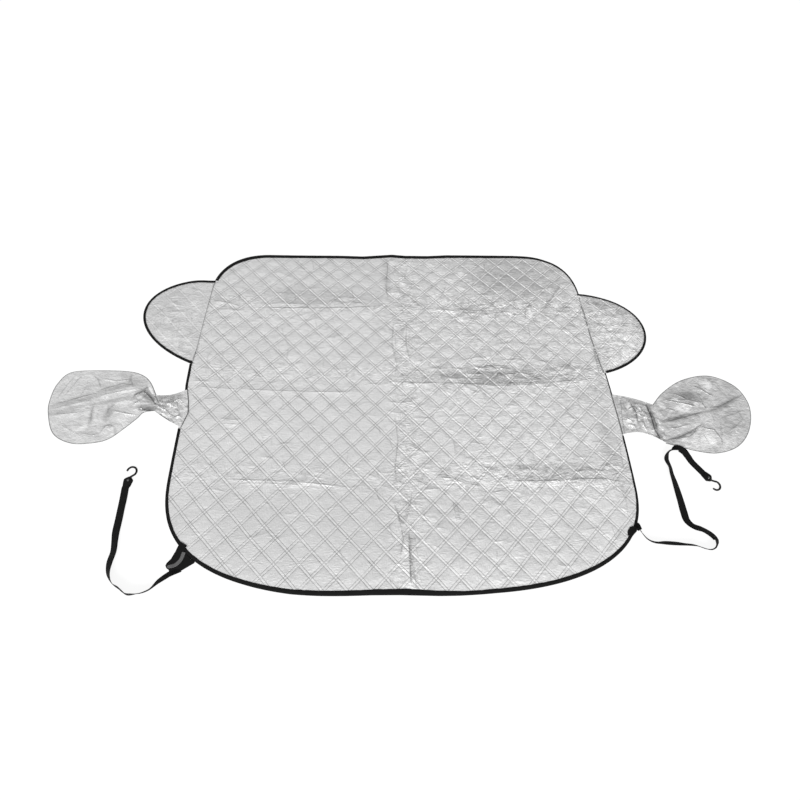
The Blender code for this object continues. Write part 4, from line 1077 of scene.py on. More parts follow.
def cushions(u, v, level):
    """Relief of one quilt cell, 0 at the stitches to 1 in the middle: the product of two
    quarter sines of the distance from the nearest stitch row, to a power that squares it off,
    with a low welt between the rows of a pair."""
    sizes = bpy.context.scene.quilt_sizes
    row = sizes.stitch_gap / (sizes.pitch_u + sizes.pitch_v)
    rises = []
    welts = []
    for part in (u, v):
        away = np.abs(part - np.round(part))
        rises.append(np.sin(math.pi / 2 * np.clip((away - row) / (0.5 - row), 0, 1)))
        welts.append(np.clip(1 - (away / row) ** 2, 0, 1))
    return level * (rises[0] * rises[1]) ** 0.5, np.maximum(*welts)


def quilted_sheet(name, edge, relief, under, wear, dull, sewn=1.0, shift=(0.0, 0.0)):
    """Closed quilted sheet inside an edge.  Its top is a grid on the quilt's own lines, cut at
    the edge, where the outermost places are drawn onto it; its underside is flat."""
    sizes = bpy.context.scene.quilt_sizes
    coarse = edge[::4]
    u, v = lattice_of(edge - shift)
    u, v = np.meshgrid(quilt_marks(math.floor(u.min()) - 1, math.ceil(u.max()) + 1),
                       quilt_marks(math.floor(v.min()) - 1, math.ceil(v.max()) + 1), indexing="ij")
    points = (place_of(u, v) + shift).reshape(-1, 2)
    x, y = points[:, 0].copy(), points[:, 1].copy()
    points[:, 0] += sizes.wander * rolling(x, y, 0.11, 11)
    points[:, 1] += sizes.wander * rolling(x, y, 0.11, 12)
    inside = within(points, coarse)
    quads = grid_faces(*u.shape)
    kept = quads[inside[quads].any(axis=1)]
    used, faces = np.unique(kept, return_inverse=True)
    points, u, v, inside = points[used], u.ravel()[used], v.ravel()[used], inside[used]
    points[~inside] = nearest(points[~inside], edge, closed=True)[1]
    gap = nearest(points, coarse, closed=True)[0]
    gap[~inside] = 0.0
    height, crease_gap, crease_rise = relief(points, u, v, gap)
    faces = faces.reshape(-1, 4)
    item = add_mesh(name, np.column_stack([points, height]), faces, np.stack([u, v], axis=1))
    mark(item, crease_gap=crease_gap, crease_rise=crease_rise, wear=wear(*points.T),
         dull=dulled(points, dull), sewn=sewn)
    body = bmesh.new()
    body.from_mesh(item.data)
    bmesh.ops.remove_doubles(body, verts=body.verts, dist=WELD_GAP)
    bmesh.ops.dissolve_degenerate(body, edges=body.edges, dist=0.05 * MM)
    body.to_mesh(item.data)
    body.free()
    close_sheet(item, under)
    return item


SEAM_LEVEL = 2.9 * MM         # height of the sewn-down film over the floor
RIM_LEVEL = 2.3 * MM          # height of the film under the tape
RISE_FROM = 7.0 * MM          # distance from the edge at which the quilting begins to rise
RISE_OVER = 30.0 * MM
WELD_GAP = 0.15 * MM          # places of a quilted sheet's rim that are nearer are merged

# Patches of painted shade on the film, or of painted highlight where the share is negative, as (x, y,
# reach along x, reach along y, turn in degrees, share)
PANEL_PAINTED_SHADE = (
    (0.40, 0.485, 0.16, 0.085, -8, 1.0), (0.50, 0.44, 0.06, 0.07, -30, 0.5),
    (0.30, 0.085, 0.24, 0.030, 1, 0.9), (0.55, 0.115, 0.10, 0.035, 8, 0.4),
    (0.50, -0.245, 0.20, 0.028, 0, 0.55), (0.655, -0.170, 0.030, 0.14, 4, 0.6),
    (-0.055, 0.48, 0.018, 0.10, 0, 0.6), (-0.30, 0.395, 0.26, 0.045, 0, 0.5),
    (0.02, -0.50, 0.016, 0.10, 4, 0.6), (0.62, 0.02, 0.08, 0.03, 10, 0.3),
    (-0.20, -0.46, 0.60, 0.24, 0, 0.34), (0.44, 0.54, 0.20, 0.06, -6, 0.8),
    (0.472, 0.365, 0.036, 0.008, 82, -0.60), (0.300, 0.060, 0.150, 0.012, 0, 1.0),
)


def dulled(points, patches):
    """How much painted shade the film has, or painted highlight where it is less than 0: the strongest
    of the patches' bells, each its share times exp(-r^3), where r is the distance from its middle in
    reaches."""
    level = np.zeros(len(points))
    for x, y, reach_x, reach_y, degrees, share in patches:
        turn = math.radians(degrees)
        along = (points[:, 0] - x) * math.cos(turn) + (points[:, 1] - y) * math.sin(turn)
        across = (points[:, 1] - y) * math.cos(turn) - (points[:, 0] - x) * math.sin(turn)
        bell = np.exp(-((along / reach_x) ** 2 + (across / reach_y) ** 2) ** 1.5)
        level = np.where(np.abs(share * bell) > np.abs(level), share * bell, level)
    return level


def panel_wear(x, y):
    """How creased the panel is: most along the middle and the packing folds, more at right."""
    worn = 0.11 + 0.07 * ease((y + 0.1) / 0.3) + 0.6 * np.exp(-((x - 0.01) / 0.05) ** 2)
    worn = worn + ease((x + 0.1) / 0.4) * (0.42 - 0.20 * ease((-0.15 - y) / 0.25))
    worn = worn + 0.10 * ease((y - 0.08) / 0.2)
    for fold in (0.365, 0.085, -0.265):
        worn = worn + (0.3 + 0.45 * ease((x - 0.05) / 0.2)) * np.exp(-((y - fold) / 0.045) ** 2)
    return worn


def film_crumple(points):
    """Crumples of the film: two sizes of facets, stronger where it is worn."""
    x, y = points[:, 0], points[:, 1]
    worn = 0.6 + 1.2 * panel_wear(x, y)
    patch = 1 + 0.5 * rolling(x, y, 0.09, 31)
    big = facets(x, y * 1.5, 0.030, 21) * 0.9
    small = facets(x + 0.4 * y, y * 1.7, 0.015, 22) * 0.55
    return (big + small - 0.45) * worn * patch


def panel_relief(points, u, v, gap):
    """Height of the panel: quilting on the sewn level, crumples, packing folds and a swell."""
    sizes = bpy.context.scene.quilt_sizes
    x, y = points[:, 0], points[:, 1]
    column, row = np.round(u - 0.5).astype(np.int64), np.round(v - 0.5).astype(np.int64)
    plump = 0.48 + 0.42 * ease((x + 0.1) / 0.4) + 0.52 * ease((y + 0.1) / 0.4)
    level = plump * (0.72 + 0.56 * scatter(column, row, 5))
    rise, welt = cushions(u, v, level)
    lean = (scatter(column, row, 6) - 0.5) * (u - column - 0.5)
    lean += (scatter(column, row, 7) - 0.5) * (v - row - 0.5)
    height = SEAM_LEVEL + sizes.puff * rise * (1 + lean) + 0.3 * MM * welt * (plump - 0.4)
    height += sizes.crumple * film_crumple(points)
    spare = short_creases((points.min(axis=0), points.max(axis=0)), 1700, 0.66, 52, panel_wear)
    folds, crease_gap, crease_rise = creased(points, [*PANEL_CREASES, *spare], 50)
    height += folds
    height += 1.6 * MM * (1 + rolling(x, y, 0.24, 41)) * ease(gap / 0.12)
    share = ease((gap - RISE_FROM) / RISE_OVER)
    marks = seamed(points, PANEL_SEAMS_AND_FOLD_SHADE, crease_gap, crease_rise * share)
    return RIM_LEVEL + (height - RIM_LEVEL) * share, *marks


FLAP_WEAR = {"left": 0.45, "right": 1.2}      # how strongly its facets and crinkle show
FLAP_SEWN = {"left": 0.35, "right": 0.9}      # how plainly the quilting shows
# Patches of painted shade and painted highlight on the flaps, as on the panel
FLAP_PAINTED_SHADE = {
    "left": ((-0.780, 0.260, 0.300, 0.300, 0, 0.20), (-0.80, 0.10, 0.06, 0.02, -20, 0.5)),
    "right": ((0.76, 0.405, 0.10, 0.022, -18, 0.7), (0.855, 0.335, 0.025, 0.05, 30, 0.5),
              (0.70, 0.33, 0.03, 0.06, 0, 0.3), (0.715, 0.385, 0.030, 0.010, -6, 1.0),
              (0.80, 0.20, 0.05, 0.06, 30, -0.35), (0.745, 0.25, 0.02, 0.04, 30, -0.3)),
}


def flap_relief(side):
    """Height of a flap: low quilting, long wrinkles and a dome that falls off at its rim."""
    sizes = bpy.context.scene.quilt_sizes
    puff, dome = {"left": (0.2, 3.5), "right": (1.1, 9.0)}[side]

    def relief(points, u, v, gap):
        x, y = points[:, 0], points[:, 1]
        rise, welt = cushions(u, v, 1.0)
        height = SEAM_LEVEL - 0.8 * MM + puff * sizes.puff * rise + 0.3 * MM * welt * FLAP_SEWN[side]
        wave = facets(x * 1.2 + 0.5 * y, y * 2.0, 0.045, 61) * 2.6 + facets(x, y * 1.6, 0.02, 62) * 0.9
        height += sizes.crumple * (wave - 1.0)
        height += dome * MM * ease(gap / 0.09) + 1.5 * MM * rolling(x, y, 0.12, 63) * ease(gap / 0.04)
        spare = short_creases((points.min(axis=0), points.max(axis=0)), 110, 0.5, 64,
                              lambda across, up: 0.8)
        folds, crease_gap, crease_rise = creased(points, spare, 66)
        height += folds
        share = ease((gap - RISE_FROM) / RISE_OVER)
        level = RIM_LEVEL - 0.8 * MM
        return level + (height - level) * share, crease_gap, crease_rise * share
    return relief


class COVER_OT_panel(bpy.types.Operator):
    """Add the quilted panel"""
    bl_idname = "cover.panel"
    bl_label = "Quilted Panel"

    def execute(self, context):
        edge = inset(panel_edge(), 1.0 * MM)
        panel = quilted_sheet("panel_cover", edge, panel_relief, 0.7 * MM, panel_wear, PANEL_PAINTED_SHADE)
        dress(panel, finish_named("quilted_silver_film", foil_finish), "quilted_foil", "quilted_panel")
        return {"FINISHED"}


class COVER_OT_flaps(bpy.types.Operator):
    """Add the two quilted side flaps"""
    bl_idname = "cover.flaps"
    bl_label = "Side Flaps"

    def execute(self, context):
        for side, shape in OUTLINE.items():
            free = flap_free_edge(side)
            ends = free[[-1, 0]]
            tuck = np.linspace(ends[0, 1], ends[1, 1], 60)
            root = np.stack([side_x(side, tuck) - 7 * MM, tuck], axis=1)
            loop = np.vstack([free, root]) * (shape["sign"], 1)
            edge = inset(even_path(loop[::shape["sign"]], 6 * MM, closed=True), 1.0 * MM)
            flap = quilted_sheet(side + "_flap_cover", edge, flap_relief(side), 0.6 * MM,
                                 lambda x, y: FLAP_WEAR[side], FLAP_PAINTED_SHADE[side],
                                 FLAP_SEWN[side], (0.012 * shape["sign"], 0.02))
            dress(flap, finish_named("quilted_silver_film", foil_finish), "quilted_foil",
                  side + "_side_flap")
        return {"FINISHED"}


# Binding tape

# Last stretch of each flap's tape at its upper end, over the panel's edge
FLAP_TAPE_END = {"left": (-0.003, 0.0005), "right": (-0.008, 0.0015)}

# Section of the folded tape as (share of its width, inward in mm, height in mm), from the inner
# edge of its upper half over the outside and back inside the fold
TAPE_SECTION = np.array((
    (1.00, 0.0, 2.95), (0.97, 0.0, 3.35), (0.72, 0.0, 3.72), (0.40, 0.0, 3.68), (0.16, 0.0, 3.40),
    (0.0, 0.7, 2.95), (0.0, 0.05, 2.10), (0.0, 0.3, 0.90), (0.0, 1.3, 0.15), (0.0, 4.0, 0.0),
    (0.0, 10.5, 0.0), (0.0, 10.5, 0.5), (0.0, 3.0, 0.55), (0.0, 1.2, 1.0), (0.0, 0.8, 1.9),
    (0.0, 1.3, 2.35), (0.40, 0.0, 3.05), (0.72, 0.0, 3.10), (0.97, 0.0, 2.78)))


def tape_along(name, path, widths, nodes, seed):
    """Folded tape along an open edge that has the panel on its left.  Each ring is the section,
    its inner edge at a width in mm that runs through the given values at even shares."""
    path = even_path(path, 4.5 * MM)
    run = unit(np.gradient(path, axis=0))
    outward = np.stack([run[:, 1], -run[:, 0]], axis=1)
    travel = travel_along(path)
    width = np.interp(travel / travel[-1], np.linspace(0, 1, len(widths)), widths)
    width = width + 0.45 * rolling(travel, travel * 0, 0.013, seed)
    puff = 1 + 0.05 * rolling(travel, travel * 0, 0.008, seed + 1)
    inward = TAPE_SECTION[:, 0] * width[:, None] + TAPE_SECTION[:, 1]
    up = TAPE_SECTION[:, 2] * puff[:, None]
    places = path[:, None, :] - outward[:, None, :] * (inward * MM)[..., None]
    rings = np.concatenate([places, (up * MM)[..., None]], axis=2)
    tape = swept(name, rings, ribbon_uv(path, rings))
    colours = bpy.context.scene.cover_colours
    dress(tape, finish_named("black_folded_tape", lambda: woven_finish(
        "black_folded_tape", colours.tape, 0.85, 1.6 * MM, 0.12)), "binding_tape", *nodes)


class COVER_OT_tapes(bpy.types.Operator):
    """Add the binding tape round the panel and the flaps"""
    bl_idname = "cover.tapes"
    bl_label = "Binding Tapes"

    def execute(self, context):
        lower, upper, free = {}, {}, {}
        for side, shape in OUTLINE.items():
            sign = (shape["sign"], 1)
            neck_top, neck_low = NECK_SEAM[side]
            free[side] = flap_free_edge(side)
            edge = half_edge(side)
            flap_low, flap_top = free[side][0, 1], free[side][-1, 1]
            lower[side] = edge[edge[:, 1] < neck_low] * sign
            upper[side] = edge[edge[:, 1] > flap_top] * sign
            short = edge[(edge[:, 1] > neck_top - 4 * MM) & (edge[:, 1] < flap_low + 4 * MM)]
            short = swollen(side, short) * sign
            widths = {"left": (8, 9, 8), "right": (4, 4, 4.5)}[side]
            tape_along(side + "_side_tape", short[::shape["sign"]], widths,
                       [side + "_side_binding"], 71)
            widths = {"left": (9, 8, 8.5, 10, 10.5), "right": (9, 8.5, 7.5, 7, 8)}[side]
            over = free[side][-1] + FLAP_TAPE_END[side]
            tape_along(side + "_flap_tape", (np.vstack([free[side], over]) * sign)[::shape["sign"]],
                       widths[::shape["sign"]], [side + "_flap_binding"], 73)
        tape_along("bottom_tape", waved(np.vstack([lower["left"][::-1], lower["right"][1:]])),
                   (9, 9.5, 9.5, 10.5, 13, 14, 17, 11.5, 12, 11.5, 10, 7, 6), ["bottom_binding"], 75)
        tape_along("top_tape", waved(np.vstack([upper["right"], upper["left"][::-1][1:]])),
                   (5.5, 8, 11.5, 13.5, 13.5, 14, 14, 13.5, 13.5, 14, 15.5, 12), ["top_binding"], 77)
        return {"FINISHED"}


# Mirror necks and pockets

# Patches of painted shade and painted highlight on the pockets and necks, as on the panel
FILM_PAINTED_SHADE = {
    "left": ((-0.808, -0.005, 0.036, 0.015, -48, 0.9), (-0.800, -0.045, 0.035, 0.011, -10, 1.0),
             (-0.770, -0.070, 0.050, 0.009, -24, 1.0), (-0.845, 0.002, 0.022, 0.008, 45, 0.8),
             (-0.757, -0.030, 0.030, 0.010, -20, 0.5), (-0.750, -0.030, 0.060, 0.080, 0, 0.15),
             (-1.035, -0.022, 0.085, 0.011, 17, 0.55), (-0.905, 0.030, 0.065, 0.010, 17, 0.55),
             (-1.055, -0.055, 0.060, 0.012, 10, 0.50), (-0.925, -0.022, 0.075, 0.008, 12, 0.45),
             (-0.970, -0.070, 0.006, 0.038, 3, 0.50), (-0.962, -0.130, 0.036, 0.009, -8, 0.50),
             (-0.905, -0.103, 0.026, 0.007, 10, 0.50), (-0.888, -0.121, 0.005, 0.018, 15, 0.50),
             (-0.920, -0.062, 0.013, 0.028, -10, 0.55), (-0.880, 0.050, 0.005, 0.022, 5, 0.55),
             (-0.943, -0.006, 0.012, 0.006, 8, -0.50), (-0.873, 0.017, 0.026, 0.007, 12, -0.50),
             (-0.804, 0.009, 0.036, 0.005, -64, -0.50), (-0.757, -0.050, 0.036, 0.004, -33, -0.25),
             (-0.986, -0.095, 0.012, 0.030, 0, -0.20), (-0.983, 0.058, 0.099, 0.020, 5, -0.22)),
    "right": ((0.965, 0.014, 0.060, 0.022, -6, 1.0), (0.820, -0.070, 0.016, 0.048, 4, 1.0),
              (0.832, -0.136, 0.013, 0.032, 24, 1.0), (0.800, -0.040, 0.007, 0.040, 22, 0.7),
              (0.930, -0.062, 0.090, 0.011, 11, 0.9), (1.090, -0.015, 0.080, 0.013, 27, 0.85),
              (0.905, -0.130, 0.065, 0.009, 20, 0.85), (0.985, -0.095, 0.010, 0.022, -25, 0.6),
              (0.985, -0.016, 0.014, 0.010, 70, -0.50), (1.045, -0.105, 0.006, 0.040, -12, 0.6),
              (0.765, -0.045, 0.006, 0.045, 8, 0.6), (0.765, -0.121, 0.055, 0.007, -4, 0.9),
              (0.760, -0.060, 0.060, 0.080, 0, 0.22), (1.100, -0.070, 0.075, 0.060, 0, 0.45),
              (1.000, -0.040, 0.400, 0.300, 0, 0.22),
              (1.042, 0.061, 0.023, 0.023, -40, -0.50), (0.936, -0.030, 0.036, 0.014, 12, -0.45),
              (0.866, -0.020, 0.013, 0.023, 30, -0.35), (0.991, -0.147, 0.033, 0.027, 0, -0.35),
              (0.753, -0.017, 0.010, 0.016, -30, -0.50), (0.753, -0.078, 0.020, 0.010, -10, -0.50),
              (0.800, -0.053, 0.013, 0.008, -50, -0.45), (0.841, -0.092, 0.013, 0.027, 35, -0.30),
              (1.166, 0.066, 0.020, 0.035, -60, 0.25), (1.083, 0.030, 0.026, 0.012, -40, 0.30)),
}
FILM_WEAR = {"left": 0.20, "right": 0.70}

# Painted shade along the film's folds, drawn on the necks and pockets as seams are
FILM_FOLD_SHADE = {
    "left": (
        (6.0, ((-0.832, 0.019), (-0.805, -0.005), (-0.782, -0.030))),
        (6.5, ((-0.830, -0.048), (-0.800, -0.050), (-0.777, -0.057), (-0.745, -0.077),
               (-0.728, -0.087))),
        (4.0, ((-0.853, 0.000), (-0.836, 0.010), (-0.822, 0.030))),
        (4.0, ((-0.765, -0.048), (-0.742, -0.060), (-0.722, -0.074), (-0.704, -0.070))),
    ),
    "right": (
        (8.0, ((0.812, -0.022), (0.815, -0.040), (0.8185, -0.074), (0.820, -0.110),
               (0.841, -0.156))),
        (2.0, ((0.852, -0.078), (0.916, -0.065), (1.009, -0.047))),
        (2.0, ((1.015, -0.045), (1.065, -0.029), (1.158, 0.020))),
        (4.5, ((0.842, -0.146), (0.892, -0.137), (0.935, -0.118), (0.976, -0.095))),
        (5.0, ((0.767, -0.118), (0.790, -0.122), (0.814, -0.132), (0.836, -0.150))),
        (3.0, ((0.928, 0.000), (0.965, 0.000), (1.002, -0.010))),
        (3.0, ((0.729, -0.003), (0.722, -0.061), (0.718, -0.112))),
    ),
}

# Inner end of each neck's hem, sewn on over the panel, as (outward, y) from low to top
NECK_HEM = {
    "left": ((-0.0110, -0.1070), (-0.0255, -0.0590), (-0.0200, -0.0200), (-0.0090, 0.0260)),
    "right": ((-0.0080, -0.1240), (-0.0100, -0.0760), (-0.0130, -0.0280), (-0.0165, 0.0200)),
}


def neck_relief(side, points, across, along):
    """Height of a neck over what it lies on: pleats that gather towards the pocket, facets and
    its own creases, flat along its sewn hem."""
    x, y = points[:, 0], points[:, 1]
    pleat = 0.5 - 0.5 * np.cos(2 * math.pi * 4 * across + 1.2 * rolling(x, y, 0.04, 81))
    gather = 0.2 + 0.8 * along
    height = 2.0 + 2.2 * gather * pleat * np.sin(math.pi * across) ** 0.5
    height += 3.6 * (facets(x, y, 0.024, 82) - 0.2) + 0.8 * facets(x, y, 0.011, 83)
    spare = short_creases((points.min(axis=0), points.max(axis=0)), 70, 0.4, 85,
                          lambda across, up: 1.0)
    folds, crease_gap, crease_rise = creased(points, [*NECK_CREASES[side], *spare], 84, 4.0)
    height = np.maximum(height * MM + folds, 0.6 * MM)
    share = ease(np.minimum(across, 1 - across) / 0.28) * ease((along - 0.12) / 0.12)
    marks = seamed(points, FILM_FOLD_SHADE[side], crease_gap, crease_rise * share)
    return 1.0 * MM + height * share, *marks


class COVER_OT_necks(bpy.types.Operator):
    """Add the film necks between the panel and the mirror pockets"""
    bl_idname = "cover.necks"
    bl_label = "Mirror Necks"

    def execute(self, context):
        rows, columns = 110, 90
        for side, shape in OUTLINE.items():
            sign = shape["sign"]
            top_y, low_y = NECK_SEAM[side]
            end_top, end_low = beside(side, NECK_MOUTH[side])
            waist_top, waist_low = NECK_WAIST[side]
            along, across = np.meshgrid(np.linspace(0, 1, rows), np.linspace(0, 1, columns),
                                        indexing="ij")
            hem = beside(side, NECK_HEM[side])
            seam_y = low_y + (top_y - low_y) * across
            seam_x = np.interp(seam_y, hem[:, 1], hem[:, 0])
            mouth = end_low + (end_top - end_low) * across[..., None]
            mouth[..., 0] += sign * 5 * MM
            x = seam_x + (mouth[..., 0] - seam_x) * along
            y = seam_y + (mouth[..., 1] - seam_y) * along
            y += np.sin(math.pi * along) * (waist_low * (1 - across) - waist_top * across)
            points = np.stack([x.ravel(), y.ravel()], axis=1)
            height, crease_gap, crease_rise = neck_relief(side, points, across.ravel(),
                                                          along.ravel())
            inward = side_x(side, points[:, 1]) - sign * points[:, 0]
            panel = RIM_LEVEL + 1.6 * MM * ease((inward - 4 * MM) / 0.02)
            height += (panel - 0.4 * MM) * ease((inward + 6 * MM) / 0.006)
            seamed = np.where(along < 0.03, 1.0, across * 0.9)
            uv = np.stack([along.ravel(), seamed.ravel()], axis=1)
            neck = add_mesh(side + "_neck_film", np.column_stack([points, height]),
                            grid_faces(rows, columns), uv)
            mark(neck, crease_gap=crease_gap, crease_rise=crease_rise, wear=1.0,
                 dull=dulled(points, FILM_PAINTED_SHADE[side]))
            thicken(neck, 0.4 * MM)
            dress(neck, finish_named("loose_silver_film", film_finish), "foil_film",
                  side + "_mirror_neck")
        return {"FINISHED"}


def pocket_relief(side, points, radius):
    """Height of a pocket: a low dome, facets of three sizes, its creases, and gathers that
    fan out from its mouth."""
    x, y = points[:, 0], points[:, 1]
    mouth = np.mean(beside(side, NECK_MOUTH[side]), axis=0)
    reach = (points - mouth) * (OUTLINE[side]["sign"], 1)
    fan = np.arctan2(reach[:, 1], reach[:, 0])
    near = np.exp(-(np.linalg.norm(reach, axis=1) / 0.075) ** 2)
    height = 1.6 + 3.0 * (1 - radius ** 2)
    height += 5.0 * (facets(x, y, 0.085, 91) - 0.2) + 1.6 * facets(x, y, 0.030, 92)
    height += 0.5 * facets(x, y, 0.013, 93)
    height += 3.0 * near * (0.5 + 0.5 * np.cos(15 * fan + 2 * rolling(x, y, 0.03, 94)))
    spare = short_creases((points.min(axis=0), points.max(axis=0)), 30, 0.6, 97,
                          lambda across, up: 0.7)
    folds, crease_gap, crease_rise = creased(points, [*POCKET_CREASES[side], *spare], 95, 4.0)
    share = ease((1 - radius) / 0.35)
    height = 1.2 * MM + np.maximum(height * MM + 0.5 * folds, 0.6 * MM) * share
    return height, *seamed(points, FILM_FOLD_SHADE[side], crease_gap, crease_rise * share)


class COVER_OT_pockets(bpy.types.Operator):
    """Add the film pockets that slip over the door mirrors"""
    bl_idname = "cover.pockets"
    bl_label = "Mirror Pockets"

    def execute(self, context):
        rings, sectors = 90, 420
        for side in OUTLINE:
            outline = smooth_curve(beside(side, POCKET_OUTLINE[side]), 400)
            loop = even_path(outline, 0.004, closed=True)
            loop = even_path(loop, stretches(loop).sum() / sectors, closed=True)
            middle = np.mean(loop, axis=0)
            radius = np.linspace(0.0, 1.0, rings)[1:] ** 0.8
            points = (middle + (loop - middle) * radius[:, None, None]).reshape(-1, 2)
            spread = np.repeat(radius, len(loop))
            points, spread = np.vstack([points, middle]), np.append(spread, 0.0)
            height, crease_gap, crease_rise = pocket_relief(side, points, spread)
            faces = list(grid_faces(rings - 1, len(loop), across_closed=True))
            last = len(points) - 1
            faces += [(last, at, (at + 1) % len(loop)) for at in range(len(loop))]
            turn = np.tile(np.linspace(0, 1, len(loop), endpoint=False), rings - 1)
            uv = np.column_stack([np.append(turn, 0.0), spread])
            pocket = add_mesh(side + "_pocket_film", np.column_stack([points, height]), faces, uv)
            mark(pocket, crease_gap=crease_gap, crease_rise=crease_rise,
                 wear=FILM_WEAR[side], dull=dulled(points, FILM_PAINTED_SHADE[side]))
            close_sheet(pocket, 0.2 * MM)
            dress(pocket, finish_named("loose_silver_film", film_finish), "foil_film",
                  side + "_mirror_pocket")
        return {"FINISHED"}


# Straps and hooks

def end_place(side):
    """Start of the strap's folded end and the unit vector along it, both level."""
    turn = math.radians(END_HEADING[side])
    return beside(side, [END_START[side]])[0], np.array([math.cos(turn), math.sin(turn)])


def strap_route(side, steps):
    """Middle line of a strap and its turn: a smooth curve through the route, on its lower edge."""
    sizes = bpy.context.scene.trim_sizes
    place, run = end_place(side)
    flat = STRAP_ROUTE[side][-1][2]
    lead = [(*(place + run * (END_TUCK - END_LEAD * back)), flat) for back in (2, 1, 0)]
    route = smooth_curve([*beside(side, STRAP_ROUTE[side]), *lead], steps)
    turn = -np.radians(route[:, 2])
    height = (FLOOR_GAP + sizes.strap_width / 2 * np.abs(np.sin(turn))
              + sizes.strap_thick / 2 * np.abs(np.cos(turn)))
    if STRAP_HUMP[side]:
        ahead, y, lift = STRAP_HUMP[side]
        away = np.linalg.norm(route[:, :2] - beside(side, [(ahead, y)]), axis=1)
        height += lift * np.exp(-(away / HUMP_REACH) ** 2)
    return np.column_stack([route[:, :2], height]), turn


def ribbon_rings(route, turn, width, thick):
    """Rounded flat sections across a route, each turned about it: the width runs along
    cos(turn) of the level normal and sin(turn) of the upright one."""
    run, level, upright = frame_along(route)
    wide = level * np.cos(turn)[:, None] + upright * np.sin(turn)[:, None]
    thin = np.cross(run, wide)
    half, edge = np.broadcast_to(width, len(run)) / 2, thick / 2
    across = np.stack([-half, edge - half, -half / 2, 0 * half, half / 2, half - edge, half], axis=1)
    lift = np.array([0.45, 1.0, 1.0, 0.92, 1.0, 1.0, 0.45]) * edge
    across = np.concatenate([across, across[:, ::-1]], axis=1)
    lift = np.concatenate([lift, -lift])
    return (route[:, None, :] + wide[:, None, :] * across[..., None]
            + thin[:, None, :] * lift[None, :, None])


def webbing_material():
    """The finish of straps, ends and tabs."""
    colours = bpy.context.scene.cover_colours
    return finish_named("elastic_webbing", lambda: woven_finish(
        "elastic_webbing", colours.webbing, 0.8, 1.8 * MM, 0.15))


class COVER_OT_straps(bpy.types.Operator):
    """Add the two elastic straps"""
    bl_idname = "cover.straps"
    bl_label = "Straps"

    def execute(self, context):
        sizes = context.scene.trim_sizes
        for side in OUTLINE:
            steps = {"left": 152, "right": 244}[side]
            route, turn = strap_route(side, steps)
            rings = ribbon_rings(route, turn, sizes.strap_width, sizes.strap_thick)
            strap = swept(side + "_strap_webbing", rings, ribbon_uv(route, rings))
            dress(strap, webbing_material(), "webbing", side + "_strap")
        return {"FINISHED"}


def folded_end(side):
    """Folded end of a strap: a rounded flat section, |x|^3 + |z|^3 = 1, whose half width and
    height follow END_SHAPE, and which rests on the floor."""
    place, run = end_place(side)
    shape = np.array(END_SHAPE)
    share = np.linspace(shape[0, 0], shape[-1, 0], 44)
    half, high = np.interp(share, shape[:, 0], shape[:, 1]), np.interp(share, shape[:, 0], shape[:, 2])
    turn = np.linspace(0.0, 2 * math.pi, 28, endpoint=False)
    aside = np.sign(np.cos(turn)) * np.abs(np.cos(turn)) ** (2 / 3)
    up = np.sign(np.sin(turn)) * np.abs(np.sin(turn)) ** (2 / 3)
    across = np.array([-run[1], run[0]])
    level = (place + run * (share * END_LENGTH)[:, None])[:, None, :]
    level = level + across * (half[:, None] * aside)[..., None]
    height = FLOOR_GAP + (high - FLOOR_GAP)[:, None] * (1 + up) / 2
    rings = np.concatenate([level, height[..., None]], axis=2)
    uv = np.stack([np.repeat(share * END_LENGTH, 28), (half[:, None] * aside).ravel()], axis=1)
    return swept(side + "_end_fold", rings, uv)


def hook_wire(side, radius):
    """Round wire of a hook: an open ring and a shank into the strap's end.  Its tip is a half
    ball: the sections' radii there are the heights of a quarter circle."""
    shape = HOOK[side]
    place, run = end_place(side)
    turn = np.radians(np.linspace(shape["tip"], shape["leave"], 13))
    ring = beside(side, [shape["centre"]]) + HOOK_RADIUS * np.stack([np.cos(turn), np.sin(turn)],
                                                                    axis=1)
    points = [(*point, radius + FLOOR_GAP) for point in ring]
    points += [(*(place + run * (END_LENGTH - SHANK_IN / 4)), SHANK_HIGH),
               (*(place + run * (END_LENGTH - SHANK_IN)), SHANK_HIGH)]
    route = smooth_curve(points, 200)
    travel = travel_along(route)
    quarter = np.linspace(0.15, math.pi / 2, 7)
    marks = np.concatenate([radius * (1 - np.cos(quarter)), np.linspace(radius, travel[-1], 72)[1:]])
    sizes = np.concatenate([radius * np.sin(quarter), np.full(71, radius)])
    middle = np.stack([np.interp(marks, travel, route[:, axis]) for axis in range(3)], axis=1)
    _, level, upright = frame_along(middle)
    turn = np.linspace(0.0, 2 * math.pi, 16, endpoint=False)
    spoke = level[:, None, :] * np.cos(turn)[:, None] + upright[:, None, :] * np.sin(turn)[:, None]
    return swept(side + "_hook_wire", middle[:, None, :] + spoke * sizes[:, None, None])


